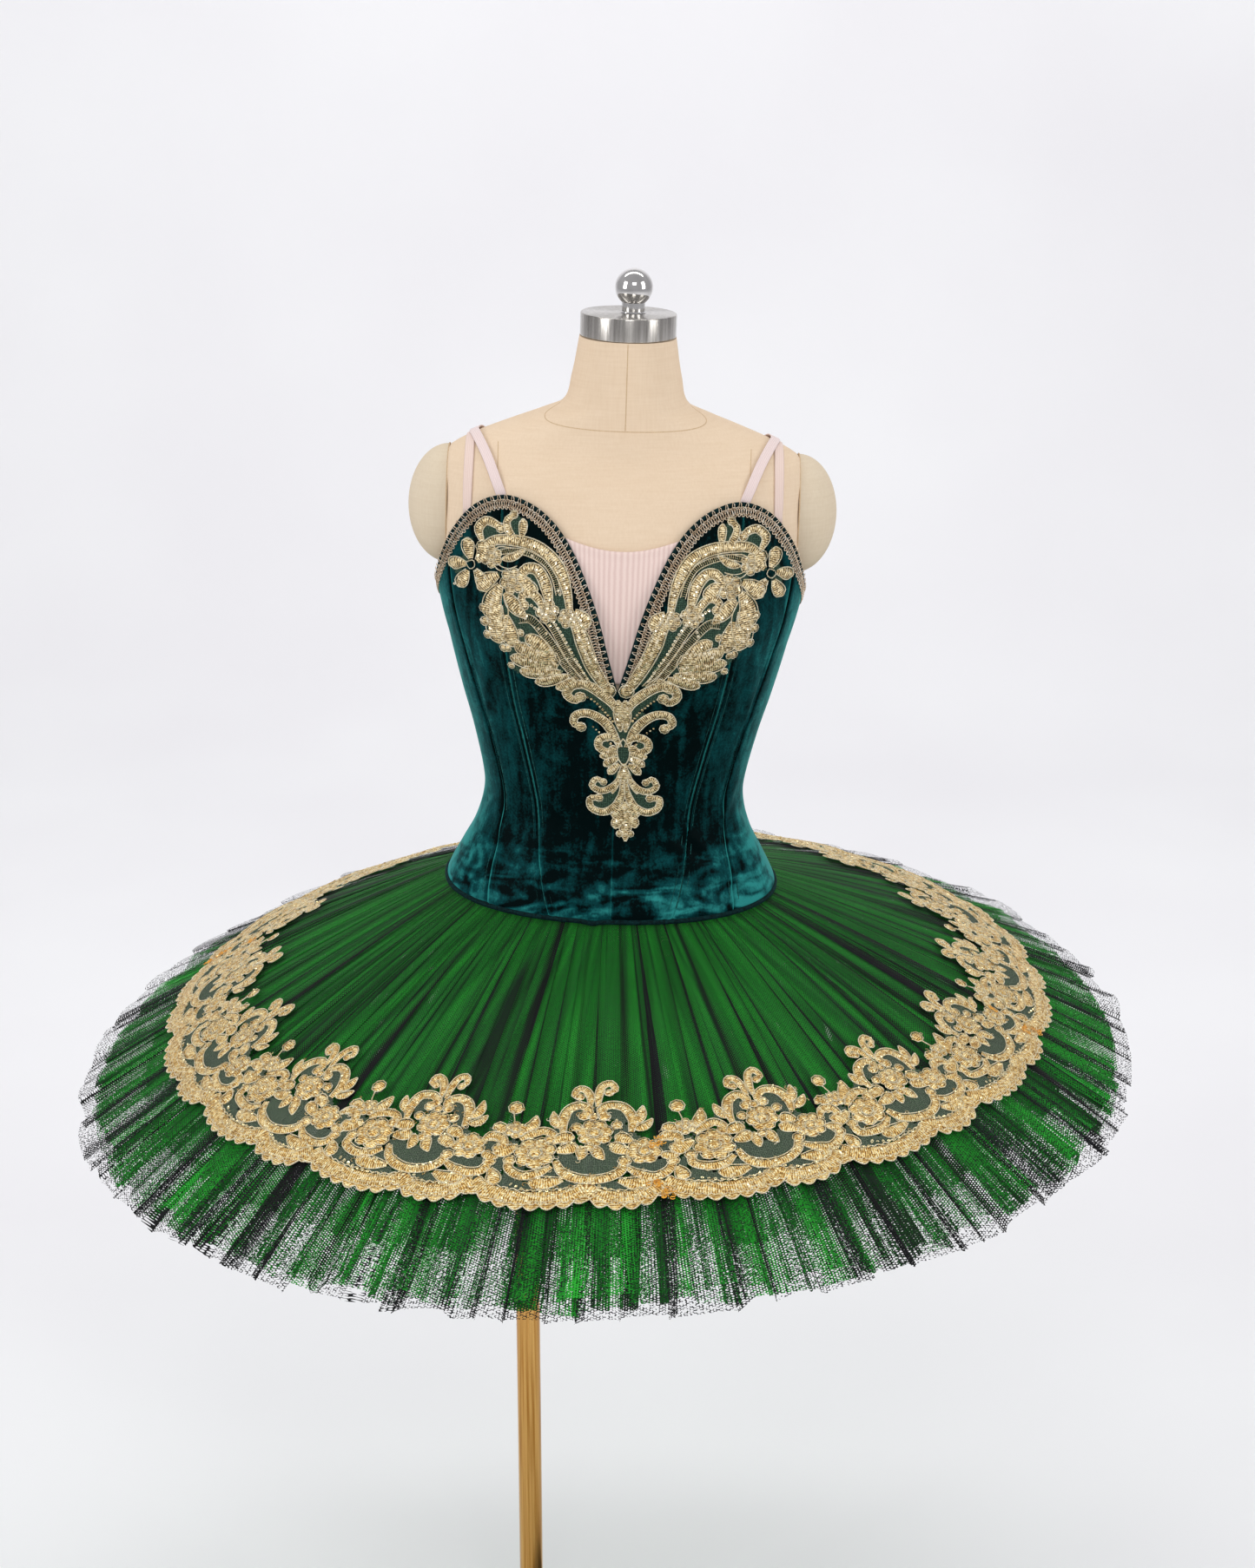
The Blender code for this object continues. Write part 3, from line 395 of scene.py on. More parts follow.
# Centre motif: right half and height over one metre; each is drawn twice
CENTRE_STROKES = (
    Stroke("scroll", 4.4, ((2, 138), (9, 152), (21, 164), (34, 171), (45, 169), (49, 160), (42, 154),
                           (37, 158))),
    Stroke("beads", 1.7, ((9, 134), (17, 145), (27, 155), (34, 159))),
    Stroke("scroll", 4.0, ((3, 108), (9, 122), (18, 134), (30, 141), (41, 139), (44, 131), (37, 127))),
    Stroke("beads", 1.6, ((11, 111), (19, 120), (27, 127))),
    Stroke("leaf", 4.6, ((3, 156), (3, 140), (2, 124))),
    Stroke("sequins", 3.8, ((4, 148), (4, 138), (3, 126))),
    Stroke("scroll", 3.4, ((3, 113), (12, 118), (21, 115), (22, 107), (15, 103), (9, 106))),
    Stroke("petal", 3.8, ((5, 102), (12, 101), (21, 98))),
    Stroke("petal", 3.6, ((5, 97), (11, 94), (18, 89))),
    Stroke("petal", 3.4, ((4, 91), (9, 87), (14, 81))),
    Stroke("sequins", 3.4, ((16, 100), (13, 92), (9, 86))),
    Stroke("scroll", 2.8, ((3, 84), (6, 74), (13, 66), (22, 64), (29, 69), (25, 76), (19, 73))),
    Stroke("leaf", 2.2, ((4, 76), (8, 70), (11, 62))),
    Stroke("scroll", 3.3, ((1, 74), (3, 60), (9, 49), (20, 43), (30, 47), (31, 56), (23, 57))),
    Stroke("petal", 4.2, ((2, 50), (7, 44), (10, 37))),
    Stroke("petal", 4.4, ((2, 42), (7, 35), (9, 27))),
    Stroke("bud", 3.0, ((5, 22),)),
)
CENTRE_MIDDLE_STROKES = (
    Stroke("cord", 0.6, ((0, 117), (5, 108), (5, 98), (0, 90), (-5, 98), (-5, 108), (0, 117))),
    Stroke("petal", 4.4, ((0, 92), (0, 84), (0, 72))),
    Stroke("leaf", 6.2, ((0, 54), (0, 36), (0, 15))),
    Stroke("sequins", 4.0, ((0, 86), (0, 76))),
    Stroke("sequins", 3.6, ((0, 48), (0, 34), (1, 22))),
)
CENTRE_TILT = ((1.017, 0.0115), (1.164, 0.0040))

# Lace band, one repeat: distance along it from the middle of the crown, and in from the longest scallop
LACE_WIDTH = 138.0
LACE_DEPTH = 140.0
LACE_OUTER = 0.785
LACE_INNER = 0.460
LaceEdge = namedtuple("LaceEdge", "along inward")
LACE_EDGE = (
    LaceEdge(-86.0, 14.0),
    LaceEdge(-72.0, 6.0),
    LaceEdge(-52.0, 1.0),
    LaceEdge(-32.0, 0.5),
    LaceEdge(-14.0, 3.0),
    LaceEdge(-3.0, 8.0),
    LaceEdge(6.0, 3.0),
    LaceEdge(20.0, 0.5),
    LaceEdge(36.0, 3.0),
    LaceEdge(46.0, 9.0),
    LaceEdge(52.0, 14.0),
)
LACE_STROKES = (
    # Crown: two rolled tips over two arches
    Stroke("scroll", 3.4, ((-3, 108), (-4, 119), (-9, 128), (-16, 129), (-18, 122), (-13, 120))),
    Stroke("scroll", 3.4, ((3, 108), (3, 121), (6, 132), (13, 135), (17, 128), (12, 124))),
    Stroke("scroll", 4.4, ((-24, 80), (-26, 94), (-21, 106), (-11, 110), (-4, 104), (-8, 98))),
    Stroke("scroll", 4.4, ((30, 80), (31, 95), (25, 107), (14, 111), (6, 105), (9, 98))),
    Stroke("leaf", 4.2, ((-26, 86), (-32, 93), (-35, 103))),
    Stroke("leaf", 4.4, ((32, 90), (38, 98), (40, 109))),
    Stroke("leaf", 3.8, ((33, 83), (41, 87), (48, 94))),
    Stroke("rose", 14.5, ((2, 80),)),
    Stroke("bud", 4.6, ((-14, 86),)),
    Stroke("bud", 4.6, ((18, 88),)),
    Stroke("bud", 4.0, ((0, 97),)),
    # Flowers of the middle
    Stroke("rose", 17.0, ((-44, 58),)),
    Stroke("rose", 14.0, ((40, 60),)),
    Stroke("petal", 6.0, ((-32, 70), (-24, 74), (-15, 74))),
    Stroke("petal", 6.0, ((-28, 60), (-20, 62), (-12, 66))),
    Stroke("petal", 5.6, ((30, 70), (24, 74), (16, 76))),
    Stroke("petal", 5.6, ((28, 58), (22, 62), (14, 68))),
    Stroke("leaf", 4.2, ((-10, 66), (-8, 58), (-9, 50))),
    Stroke("leaf", 4.4, ((3, 66), (4, 58), (8, 50))),
    Stroke("bud", 4.2, ((-2, 64),)),
    Stroke("scroll", 4.6, ((-27, 50), (-21, 38), (-8, 31), (8, 31), (20, 38), (25, 50))),
    # Sprig between two crowns
    Stroke("bud", 7.0, ((-68, 106),)),
    Stroke("cord", 0.6, ((-68, 99), (-66, 91), (-64, 84))),
    Stroke("rose", 9.0, ((-64, 82),)),
    Stroke("leaf", 5.2, ((-58, 80), (-51, 88), (-48, 99))),
    Stroke("leaf", 5.2, ((-71, 78), (-79, 84), (-84, 80))),
    Stroke("scroll", 4.0, ((-58, 72), (-50, 78), (-40, 82), (-32, 78), (-34, 73))),
    Stroke("scroll", 4.0, ((-88, 66), (-82, 74), (-73, 73), (-70, 65), (-75, 61))),
    Stroke("petal", 6.0, ((-60, 66), (-68, 60), (-78, 56))),
    Stroke("petal", 5.0, ((52, 70), (60, 74), (66, 70))),
    # Lower stems and the openings over them
    Stroke("scroll", 4.4, ((26, 42), (34, 35), (46, 33), (56, 37), (60, 46))),
    Stroke("scroll", 4.4, ((-30, 44), (-40, 37), (-52, 36), (-62, 41), (-63, 50))),
    Stroke("leaf", 4.0, ((52, 56), (58, 52), (66, 52))),
    Stroke("petal", 6.5, ((-20, 30), (-32, 28), (-46, 28))),
    Stroke("petal", 6.5, ((20, 30), (32, 26), (44, 27))),
    Stroke("petal", 5.5, ((62, 40), (66, 32), (66, 24))),
    Stroke("ladder", 2.6, ((-56, 18), (-46, 12), (-32, 10), (-18, 13), (-8, 20))),
    Stroke("ladder", 2.6, ((4, 18), (12, 12), (22, 10), (34, 13), (44, 20))),
    Stroke("sequins", 4.2, ((-58, 24), (-44, 19), (-30, 18), (-16, 20), (-4, 25))),
    Stroke("sequins", 4.2, ((2, 25), (14, 19), (26, 18), (38, 22), (50, 28))),
    Stroke("sequins", 4.6, ((-24, 44), (-12, 33), (6, 32), (20, 40))),
    Stroke("sequins", 4.4, ((-22, 98), (-14, 107), (-6, 103))),
    Stroke("sequins", 4.4, ((29, 98), (20, 107), (10, 104))),
)


# Numbers and colours


def linear(colour):
    """Linear red, green, blue and full alpha of an sRGB hex colour; a linear colour stays as it is."""
    if not isinstance(colour, str):
        return colour
    channels = []
    for i in (0, 2, 4):
        value = int(colour[i:i + 2], 16) / 255.0
        channels.append(value / 12.92 if value <= 0.04045 else ((value + 0.055) / 1.055) ** 2.4)
    return (*channels, 1.0)


def dyed(name, *hex_colours):
    """Hex colours of one cloth or metal, carried along with the colour that the panel holds for it."""
    chosen = getattr(bpy.context.scene.tutu_colours, name)
    change = [new / usual for new, usual in zip(chosen, linear(USUAL_COLOURS[name]))]
    return [tuple(min(1.0, part * share) for part, share in zip(linear(code), change))
            for code in hex_colours]


def spline(keys, values, at):
    """Rows of values on a smooth curve through the given ones, at an array of keys."""
    last = len(keys) - 1
    i = np.clip(np.searchsorted(keys, at, side="right") - 1, 0, last - 1)
    low = np.maximum(np.arange(last + 1) - 1, 0)
    high = np.minimum(np.arange(last + 1) + 1, last)
    slopes = (values[high] - values[low]) / (keys[high] - keys[low])[:, None]
    span = (keys[i + 1] - keys[i])[..., None]
    t = (at - keys[i])[..., None] / span
    step = values[i + 1] - values[i]
    return (values[i] + slopes[i] * span * (t - 2 * t ** 2 + t ** 3)
            + step * (3 * t ** 2 - 2 * t ** 3) + slopes[i + 1] * span * (t ** 3 - t ** 2))


def table_curve(rows, key, column, at):
    """Values of a column on a smooth curve through the rows, at an array of keys."""
    keys = np.array([getattr(row, key) for row in rows])
    values = np.array([getattr(row, column) for row in rows])
    return spline(keys, values[:, None], np.clip(at, keys[0], keys[-1]))[..., 0]


def distances(line):
    """Distance of each point from the first, along the line."""
    return np.concatenate(([0.0], np.cumsum(np.linalg.norm(np.diff(line, axis=0), axis=1))))


def circle(steps):
    """Angles all round, and the points of a circle there."""
    turn = np.linspace(0.0, 2.0 * math.pi, steps, endpoint=False)
    return turn, np.stack((np.cos(turn), np.sin(turn)), axis=1)


# Shape of the body and of what lies on it


def lean(points):
    """Tip points of the upright body about the pivot at the basque."""
    x = points[..., 0] - BODY_X
    z = points[..., 2] - LEAN_PIVOT
    return np.stack((BODY_X + x * math.cos(LEAN) + z * math.sin(LEAN), points[..., 1],
                     LEAN_PIVOT - x * math.sin(LEAN) + z * math.cos(LEAN)), axis=-1)


def leaning(directions):
    """Directions turned as the form leans."""
    return lean(directions) - lean(np.zeros(3))


def signed_power(value, power):
    return np.sign(value) * np.abs(value) ** power


def body_surface(angle, height, side_limit):
    """Points of the upright body."""
    angle, height = np.broadcast_arrays(np.asarray(angle, float), np.asarray(height, float))
    half_width = table_curve(BODY_RINGS, "height", "half_width", height)
    turn = np.radians(angle)
    x = np.clip(half_width * signed_power(np.sin(turn), 2.0 / RING_POWER), -side_limit, side_limit)
    ahead = np.cos(turn)
    depth = np.where(ahead > 0, table_curve(BODY_RINGS, "height", "front", height),
                     table_curve(BODY_RINGS, "height", "back", height))
    y = -depth * signed_power(ahead, 2.0 / RING_POWER)
    across = (np.hypot(x, BUST_VALLEY) - BUST_APEX_X) / BUST_SPREAD_X
    along = (height - BUST_APEX_Z) / BUST_SPREAD_Z
    y = y - BUST_DEPTH * np.exp(-across ** 2 - along ** 2) * np.clip(2.0 * ahead, 0.0, 1.0)
    return np.stack((BODY_X + x, y, height), axis=-1)


def unit(vectors):
    return vectors / np.maximum(np.linalg.norm(vectors, axis=-1, keepdims=True), 1e-12)


def body_normal(angle, height, side_limit):
    step_angle = 1.5
    step_height = 0.003
    low = np.maximum(height - step_height, BODY_RINGS[0].height)
    high = np.minimum(height + step_height, NECK_TOP)
    around = (body_surface(angle + step_angle, height, side_limit)
              - body_surface(angle - step_angle, height, side_limit))
    upward = body_surface(angle, high, side_limit) - body_surface(angle, low, side_limit)
    return unit(np.cross(around, upward))


def body_points(angle, height, out=0.0, side_limit=ARM_PLANE):
    """Points at a distance out from the body, on the leaning form."""
    angle, height, out = np.broadcast_arrays(np.asarray(angle, float), np.asarray(height, float),
                                             np.asarray(out, float))
    return lean(body_surface(angle, height, side_limit)
                + body_normal(angle, height, side_limit) * out[..., None])


def front_angle(x, height):
    """Angle at which the ring at a height has this x from its middle."""
    half_width = table_curve(BODY_RINGS, "height", "half_width", height)
    ratio = np.minimum(0.999, np.abs(x) / half_width) ** (RING_POWER / 2.0)
    return np.sign(x) * np.degrees(np.arcsin(ratio))


def velvet_out(angle, height):
    """Distance from the body to the inside of the velvet."""
    rise = np.clip((height - 1.19) / 0.055, 0.0, 1.0)
    underarm = UNDERARM_EASE * rise * np.sin(np.radians(np.minimum(np.abs(angle), 90.0))) ** 4
    bridge = BREAST_BRIDGE * np.exp(-(angle / 40.0) ** 2 - ((height - BUST_APEX_Z) / 0.06) ** 2)
    return EASE + underarm + bridge


def velvet_points(angle, height, out=0.0):
    """Points at a distance out from the inside of the velvet."""
    return body_points(angle, height, velvet_out(angle, height) + out, 1.0)


def velvet_line(angles, heights, out):
    """Points and normals of a line that lies on the velvet."""
    return velvet_points(angles, heights, out), leaning(body_normal(angles, heights, 1.0))


def seam_angle(seam, height):
    if seam == "centre_front":
        return np.zeros_like(height)
    if seam == "centre_back":
        return np.full_like(height, 180.0)
    return table_curve(SEAMS, "height", seam, height)


def neckline_height(angle):
    return table_curve(NECKLINE, "angle", "height", np.abs(angle))


def basque_height(angle):
    return BASQUE_EDGE - BASQUE_DIP * np.maximum(0.0, np.cos(np.radians(angle)))


def rim_drop(angle):
    """Fall of the rim below the waist edge of the skirt, uneven round the figure."""
    turn = np.radians(angle)
    middle, ahead, sideways, oval = RIM_TILT
    return middle + ahead * np.cos(turn) + sideways * np.sin(turn) + oval * np.cos(2 * turn)


def skirt_points(angle, share, start_drop=OVERLAY_START, sink=0.0, out=0.0):
    """Points of the skirt without its folds: share 0 at the body, 1 at the longest rim."""
    angle, share = np.broadcast_arrays(np.asarray(angle, float), np.asarray(share, float))
    turn = np.radians(angle)
    inner = body_points(angle, basque_height(angle) - start_drop, out)
    rim_z = basque_height(angle) - OVERLAY_START - rim_drop(angle)
    rim = np.stack((RIM_X + RIM_RADIUS * np.sin(turn), -RIM_RADIUS * np.cos(turn), rim_z), axis=-1)
    points = inner + (rim - inner) * share[..., None]
    fall = share * (1.0 - DOME * (1.0 - share))
    points[..., 2] = inner[..., 2] + (rim_z - inner[..., 2]) * fall - sink * share
    return points


# Meshes


def strip_faces(rows, columns, closed=False):
    """Quads of a grid of points, its columns joined round if closed."""
    cells = columns if closed else columns - 1
    i = np.repeat(np.arange(rows - 1), cells)
    j = np.tile(np.arange(cells), rows - 1)
    k = (j + 1) % columns
    return np.stack((i * columns + j, i * columns + k, (i + 1) * columns + k, (i + 1) * columns + j), axis=1)


def lengths_uv(points):
    """Distance along each row and each column of a grid, in metres."""
    across = np.linalg.norm(np.diff(points, axis=1), axis=-1)
    along = np.linalg.norm(np.diff(points, axis=0), axis=-1)
    u = np.concatenate((np.zeros((points.shape[0], 1)), np.cumsum(across, axis=1)), axis=1)
    v = np.concatenate((np.zeros((1, points.shape[1])), np.cumsum(along, axis=0)), axis=0)
    return np.stack((u, v), axis=-1)


class Needlework:
    """Points, faces, finishes and cloth coordinates of one piece, gathered before its mesh is made."""

    def __init__(self):
        self.points = []
        self.faces = []
        self.finishes = []
        self.coordinates = []
        self.count = 0

    def add(self, points, faces, finish=0, uv=None):
        points = np.asarray(points, float).reshape(-1, 3)
        if uv is None:
            uv = np.zeros((len(points), 2))
        self.points.append(points)
        self.coordinates.append(np.asarray(uv, float).reshape(-1, 2))
        self.faces.extend((np.asarray(faces) + self.count).tolist())
        self.finishes.extend([finish] * len(faces))
        self.count += len(points)

    def sheet(self, grid, finish=0, uv=None, closed=False, keep=None):
        """A grid of points as one surface; keep says which of its cells stay."""
        faces = strip_faces(grid.shape[0], grid.shape[1], closed)
        points = grid.reshape(-1, 3)
        uv = (lengths_uv(grid) if uv is None else np.asarray(uv)).reshape(-1, 2)
        if keep is not None:
            used, faces = np.unique(faces[np.asarray(keep).reshape(-1)], return_inverse=True)
            faces = faces.reshape(-1, 4)
            points, uv = points[used], uv[used]
        self.add(points, faces, finish, uv)

    def tube(self, line, normals, radius, finish=0, sides=5, flat=1.0):
        """A cord along a line of points, wider than it is high where flat is under 1."""
        line = np.asarray(line, float)
        radius = np.broadcast_to(np.asarray(radius, float), (len(line),))
        along = unit(np.gradient(line, axis=0))
        side = unit(np.cross(along, normals))
        top = np.cross(side, along)
        turn = np.linspace(0.0, 2.0 * math.pi, sides, endpoint=False)
        rings = (line[:, None] + radius[:, None, None] * (np.cos(turn)[None, :, None] * side[:, None]
                 + flat * np.sin(turn)[None, :, None] * top[:, None]))
        uv = np.stack(np.broadcast_arrays((turn / (2 * math.pi))[None], distances(line)[:, None]), axis=-1)
        start = self.count
        self.add(rings, strip_faces(len(line), sides, closed=True)[:, ::-1], finish, uv)
        self.close_ends(start, len(line), sides, finish)

    def close_ends(self, start, rows, ring, finish=0, inside_out=False):
        """Closes both ends of a tube of rings, whose first point is given by its number."""
        for first, turned in ((start, inside_out), (start + (rows - 1) * ring, not inside_out)):
            face = list(range(first, first + ring))
            self.faces.append(face[::-1] if turned else face)
            self.finishes.append(finish)

    def build(self, name, materials, smooth_angle=50.0):
        mesh = bpy.data.meshes.new(name)
        points = np.concatenate(self.points)
        mesh.from_pydata(points.tolist(), [], self.faces)
        layer = mesh.uv_layers.new(name="cloth")
        corner_points = np.empty(len(mesh.loops), dtype=np.int32)
        mesh.loops.foreach_get("vertex_index", corner_points)
        coordinates = np.concatenate(self.coordinates)[corner_points]
        layer.data.foreach_set("uv", coordinates.astype(np.float32).ravel())
        mesh.polygons.foreach_set("material_index", np.array(self.finishes, dtype=np.int32))
        for material in materials:
            mesh.materials.append(material)
        mesh.update()
        mesh.shade_smooth()
        mesh.set_sharp_from_angle(angle=math.radians(smooth_angle))
        piece = bpy.data.objects.new(name, mesh)
        bpy.context.scene.collection.objects.link(piece)
        return piece


def sheet_piece(name, grid, material, thickness=0.0, uv=None, closed=False, keep=None):
    """One cloth surface from a grid of points, with a wall outward if it has a thickness."""
    work = Needlework()
    work.sheet(grid, uv=uv, closed=closed, keep=keep)
    piece = work.build(name, [material])
    if thickness:
        wall = piece.modifiers.new("wall", "SOLIDIFY")
        wall.thickness = thickness
        wall.offset = 1.0
    return piece


def turned_piece(name, profile, place, material, steps=96):
    """A turned solid from a profile of radius and height, outer side top to bottom."""
    profile = np.array(profile)
    turn = np.linspace(0.0, 2.0 * math.pi, steps, endpoint=False)
    grid = np.stack((profile[:, 0, None] * np.cos(turn)[None], profile[:, 0, None] * np.sin(turn)[None],
                     np.repeat(profile[:, 1, None], steps, axis=1)), axis=-1)
    work = Needlework()
    inner = profile[:, 0] > 1e-6
    grid = grid[inner]
    work.add(grid, strip_faces(len(grid), steps, closed=True)[:, ::-1], 0,
             np.stack(np.broadcast_arrays((turn / (2 * math.pi))[None], profile[inner, 1][:, None]), axis=-1))
    work.close_ends(0, len(grid), steps)
    piece = work.build(name, [material], smooth_angle=35.0)
    piece.matrix_world = place
    return piece


def finish_piece(piece, nodes):
    """Puts a piece in its place in the table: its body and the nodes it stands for."""
    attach(piece, BODY)
    if nodes:
        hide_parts(*nodes)
    return piece


# Materials


class Finish:
    """One Principled material and the shader nodes that feed it."""

    def __init__(self, name, roughness, metallic=0.0, **sockets):
        self.material = bpy.data.materials.new(name)
        self.material.use_nodes = True
        self.tree = self.material.node_tree
        self.shader = self.tree.nodes["Principled BSDF"]
        for key, value in {"Roughness": roughness, "Metallic": metallic, **sockets}.items():
            self.shader.inputs[key.replace("_", " ")].default_value = value

    def node(self, kind, settings=None, **links):
        """One shader node with its settings and the sockets that feed it."""
        node = self.tree.nodes.new("ShaderNode" + kind)
        for name, value in (settings or {}).items():
            if isinstance(name, int) or name in node.inputs:
                node.inputs[name].default_value = value
            else:
                setattr(node, name, value)
        for name, source in links.items():
            self.tree.links.new(source, node.inputs[name])
        return node

    def place(self):
        """Coordinates of the piece itself, in metres."""
        return self.node("TexCoord").outputs["Object"]

    def cloth(self, scale_u=1.0, scale_v=1.0):
        """Coordinates along the cloth in metres, times a scale each way."""
        uv = self.node("UVMap", {"uv_map": "cloth"}).outputs["UV"]
        scaling = {"operation": "MULTIPLY", 1: (scale_u, scale_v, 1.0)}
        return self.node("VectorMath", scaling, Vector=uv).outputs[0]

    def stretch(self, vector, scale):
        return self.node("Mapping", {"Scale": scale}, Vector=vector).outputs[0]

    def noise(self, vector, scale, detail=2.0, **settings):
        """Soft random values about one half."""
        settings = {"Scale": scale, "Detail": detail, **settings}
        return self.node("TexNoise", settings, Vector=vector).outputs["Fac"]

    def bands(self, uv, pitch, distortion, detail, detail_scale=1.0):
        """Bands across the cloth, one to a pitch."""
        settings = {"wave_type": "BANDS", "bands_direction": "Y", "Distortion": distortion, "Detail": detail,
                    "Detail Scale": detail_scale, "Scale": 2.0 * math.pi / WAVES_PER_UNIT / pitch}
        return self.node("TexWave", settings, Vector=uv).outputs["Fac"]

    def part(self, vector, axis):
        return self.node("SeparateXYZ", Vector=vector).outputs[axis]

    def fade(self, value, start, end):
        """0 where the value is at the start, 1 where it is at the end."""
        return self.node("MapRange", {"From Min": start, "From Max": end}, Value=value).outputs[0]

    def calculate(self, operation, *values):
        """One arithmetic node on sockets or numbers."""
        node = self.node("Math", {"operation": operation})
        for target, value in zip(node.inputs, values):
            if isinstance(value, (int, float)):
                target.default_value = value
            else:
                self.tree.links.new(value, target)
        return node.outputs[0]

    def times_plus(self, value, factor, added):
        return self.calculate("MULTIPLY_ADD", value, factor, added)

    def less(self, value, amount=0.5):
        return self.calculate("SUBTRACT", value, amount)

    def feed(self, socket, source):
        self.tree.links.new(source, self.shader.inputs[socket])

    def bump(self, height, distance, strength=1.0):
        self.feed("Normal", self.node("Bump", {"Distance": distance, "Strength": strength},
                                      Height=height).outputs["Normal"])

    def colour(self, source, *stops):
        """Colours the surface along a value by pairs of place and hex colour, and gives the material."""
        node = self.node("ValToRGB", Fac=source)
        ramp = node.color_ramp
        while len(ramp.elements) < len(stops):
            ramp.elements.new(0.5)
        for element, (place, hex_colour) in zip(ramp.elements, stops):
            element.position = place
            element.color = linear(hex_colour)
        self.feed("Base Color", node.outputs["Color"])
        return self.material


def crushed_velvet(dark, middle, bright):
    """Crushed silk velvet, woven pile, its sheen painted into the colour: almost black face on, a painted
    teal sheen where the pile turns away.
    """
    cloth = Finish("crushed_velvet", 0.50, Sheen_Weight=0.30, Sheen_Roughness=0.3,
                   Sheen_Tint=linear("2aa39a"), Specular_IOR_Level=0.02)
    place = cloth.place()
    crush = cloth.noise(cloth.stretch(place, (85.0, 85.0, 7.0)), 1.0, 4.0, Roughness=0.6, Distortion=0.35)
    pile = cloth.noise(place, 520.0, 3.0)
    bruises = cloth.noise(place, 55.0, 4.0, Distortion=1.2)
    # Painted sheen: bright patches low on the bodice, between the two shine heights.
    painted_sheen_patches = cloth.noise(cloth.stretch(place, (24.0, 24.0, 62.0)), 1.0, 2.0, Distortion=0.6)
    # Painted sheen: the colour turns teal as the surface turns away from the view.
    painted_highlight = cloth.node("LayerWeight", {"Blend": 0.30}).outputs["Facing"]
    low = cloth.fade(cloth.part(place, "Z"), *VELVET_SHINE_HEIGHTS)
    pile_tone_and_painted_sheen = cloth.times_plus(cloth.calculate("MULTIPLY", low, cloth.less(painted_sheen_patches, 0.43)), 3.2, painted_highlight)
    # The crushed streaks, the bruises and the pile are the velvet's own uneven tone.
    for source, share in ((crush, 0.80), (bruises, 0.42), (pile, 0.40)):
        pile_tone_and_painted_sheen = cloth.times_plus(cloth.less(source), share, pile_tone_and_painted_sheen)
    cloth.bump(bruises, 0.0010, 0.5)
    # Its brightest colour is the painted sheen.
    return cloth.colour(pile_tone_and_painted_sheen, (0.08, dark), (0.40, middle), (0.86, bright))


def plain_velvet(name, hex_colour):
    """The same velvet rolled into a narrow edge, its pile lying close."""
    cloth = Finish(name, 0.8, Sheen_Weight=0.1, Sheen_Tint=linear("2d8a86"), Specular_IOR_Level=0.1)
    pile = cloth.noise(cloth.place(), 500.0, 3.0)
    cloth.bump(pile, 0.0005)
    return cloth.colour(pile, (0.3, "010708"), (0.75, hex_colour))


def tulle(name, thread, thread_dark, shadow, cover, thin, cell, sheen, seed):
    """Knitted nylon net: six-sided holes drawn about twice as wide as real ones, so that they show.

    Cover is how much of a cell is thread near the waist, thin how much of that is lost towards the rim,
    where fewer layers lie on each other and the net is frayed."""
    cloth = Finish(name, 0.75, Sheen_Weight=sheen, Sheen_Tint=linear(thread), Specular_IOR_Level=0.25)
    uv = cloth.cloth()
    reach = 2.0 * math.pi / (cell * math.sin(math.radians(60.0)))
    waves = []
    for turn in (0.0, math.radians(60.0), math.radians(120.0)):
        direction = (math.cos(turn) * reach, math.sin(turn) * reach, 0.0)
        dot = cloth.node("VectorMath", {"operation": "DOT_PRODUCT", 1: direction}, Vector=uv)
        waves.append(cloth.calculate("COSINE", dot.outputs["Value"]))
    lattice = cloth.calculate("ADD", cloth.calculate("ADD", waves[0], waves[1]), waves[2])
    out = cloth.part(uv, "Y")
    rim = cloth.fade(out, *FRAYED_FROM_TO)
    place = cloth.place()
    # Soft grooves round the skirt: where the noise is high the net is denser and painted lighter, where it is
    # low thinner and painted darker, as painted light and shade of pleat ridges and valleys.
    turn = cloth.calculate("ARCTAN2", cloth.part(place, "X"), cloth.part(place, "Y"))
    grooves = cloth.node("CombineXYZ", {"Z": seed}, X=cloth.calculate("MULTIPLY", turn, 26.0),
                         Y=cloth.calculate("MULTIPLY", out, 4.0)).outputs[0]
    band = cloth.less(cloth.noise(grooves, 1.0, 1.0, Roughness=0.5))
    # Painted shade along the pleat valleys, and at the laps denser, darker net.
    fold = cloth.node("Attribute", {"attribute_name": "fold"}).outputs["Fac"]
    swing = cloth.times_plus(rim, 2.2 * thin, 0.6)
    bound = cloth.times_plus(band, swing, cloth.times_plus(rim, -thin, cover))
    bound = cloth.times_plus(fold, 2.0, cloth.calculate("MAXIMUM", bound, -1.0))
    speckle = cloth.times_plus(rim, 6.0, 2.0)
    bound = cloth.times_plus(cloth.less(cloth.noise(uv, 430.0)), speckle, bound)
    cloth.feed("Alpha", cloth.calculate("LESS_THAN", lattice, bound))
    # Colour: painted light and shade of the grooves, darker still in the painted valley shade and at the
    # laps.
    tone = cloth.times_plus(fold, -0.6, cloth.times_plus(band, 1.0, 0.58))
    return cloth.colour(tone, (0.10, shadow), (0.45, thread_dark), (0.75, thread))


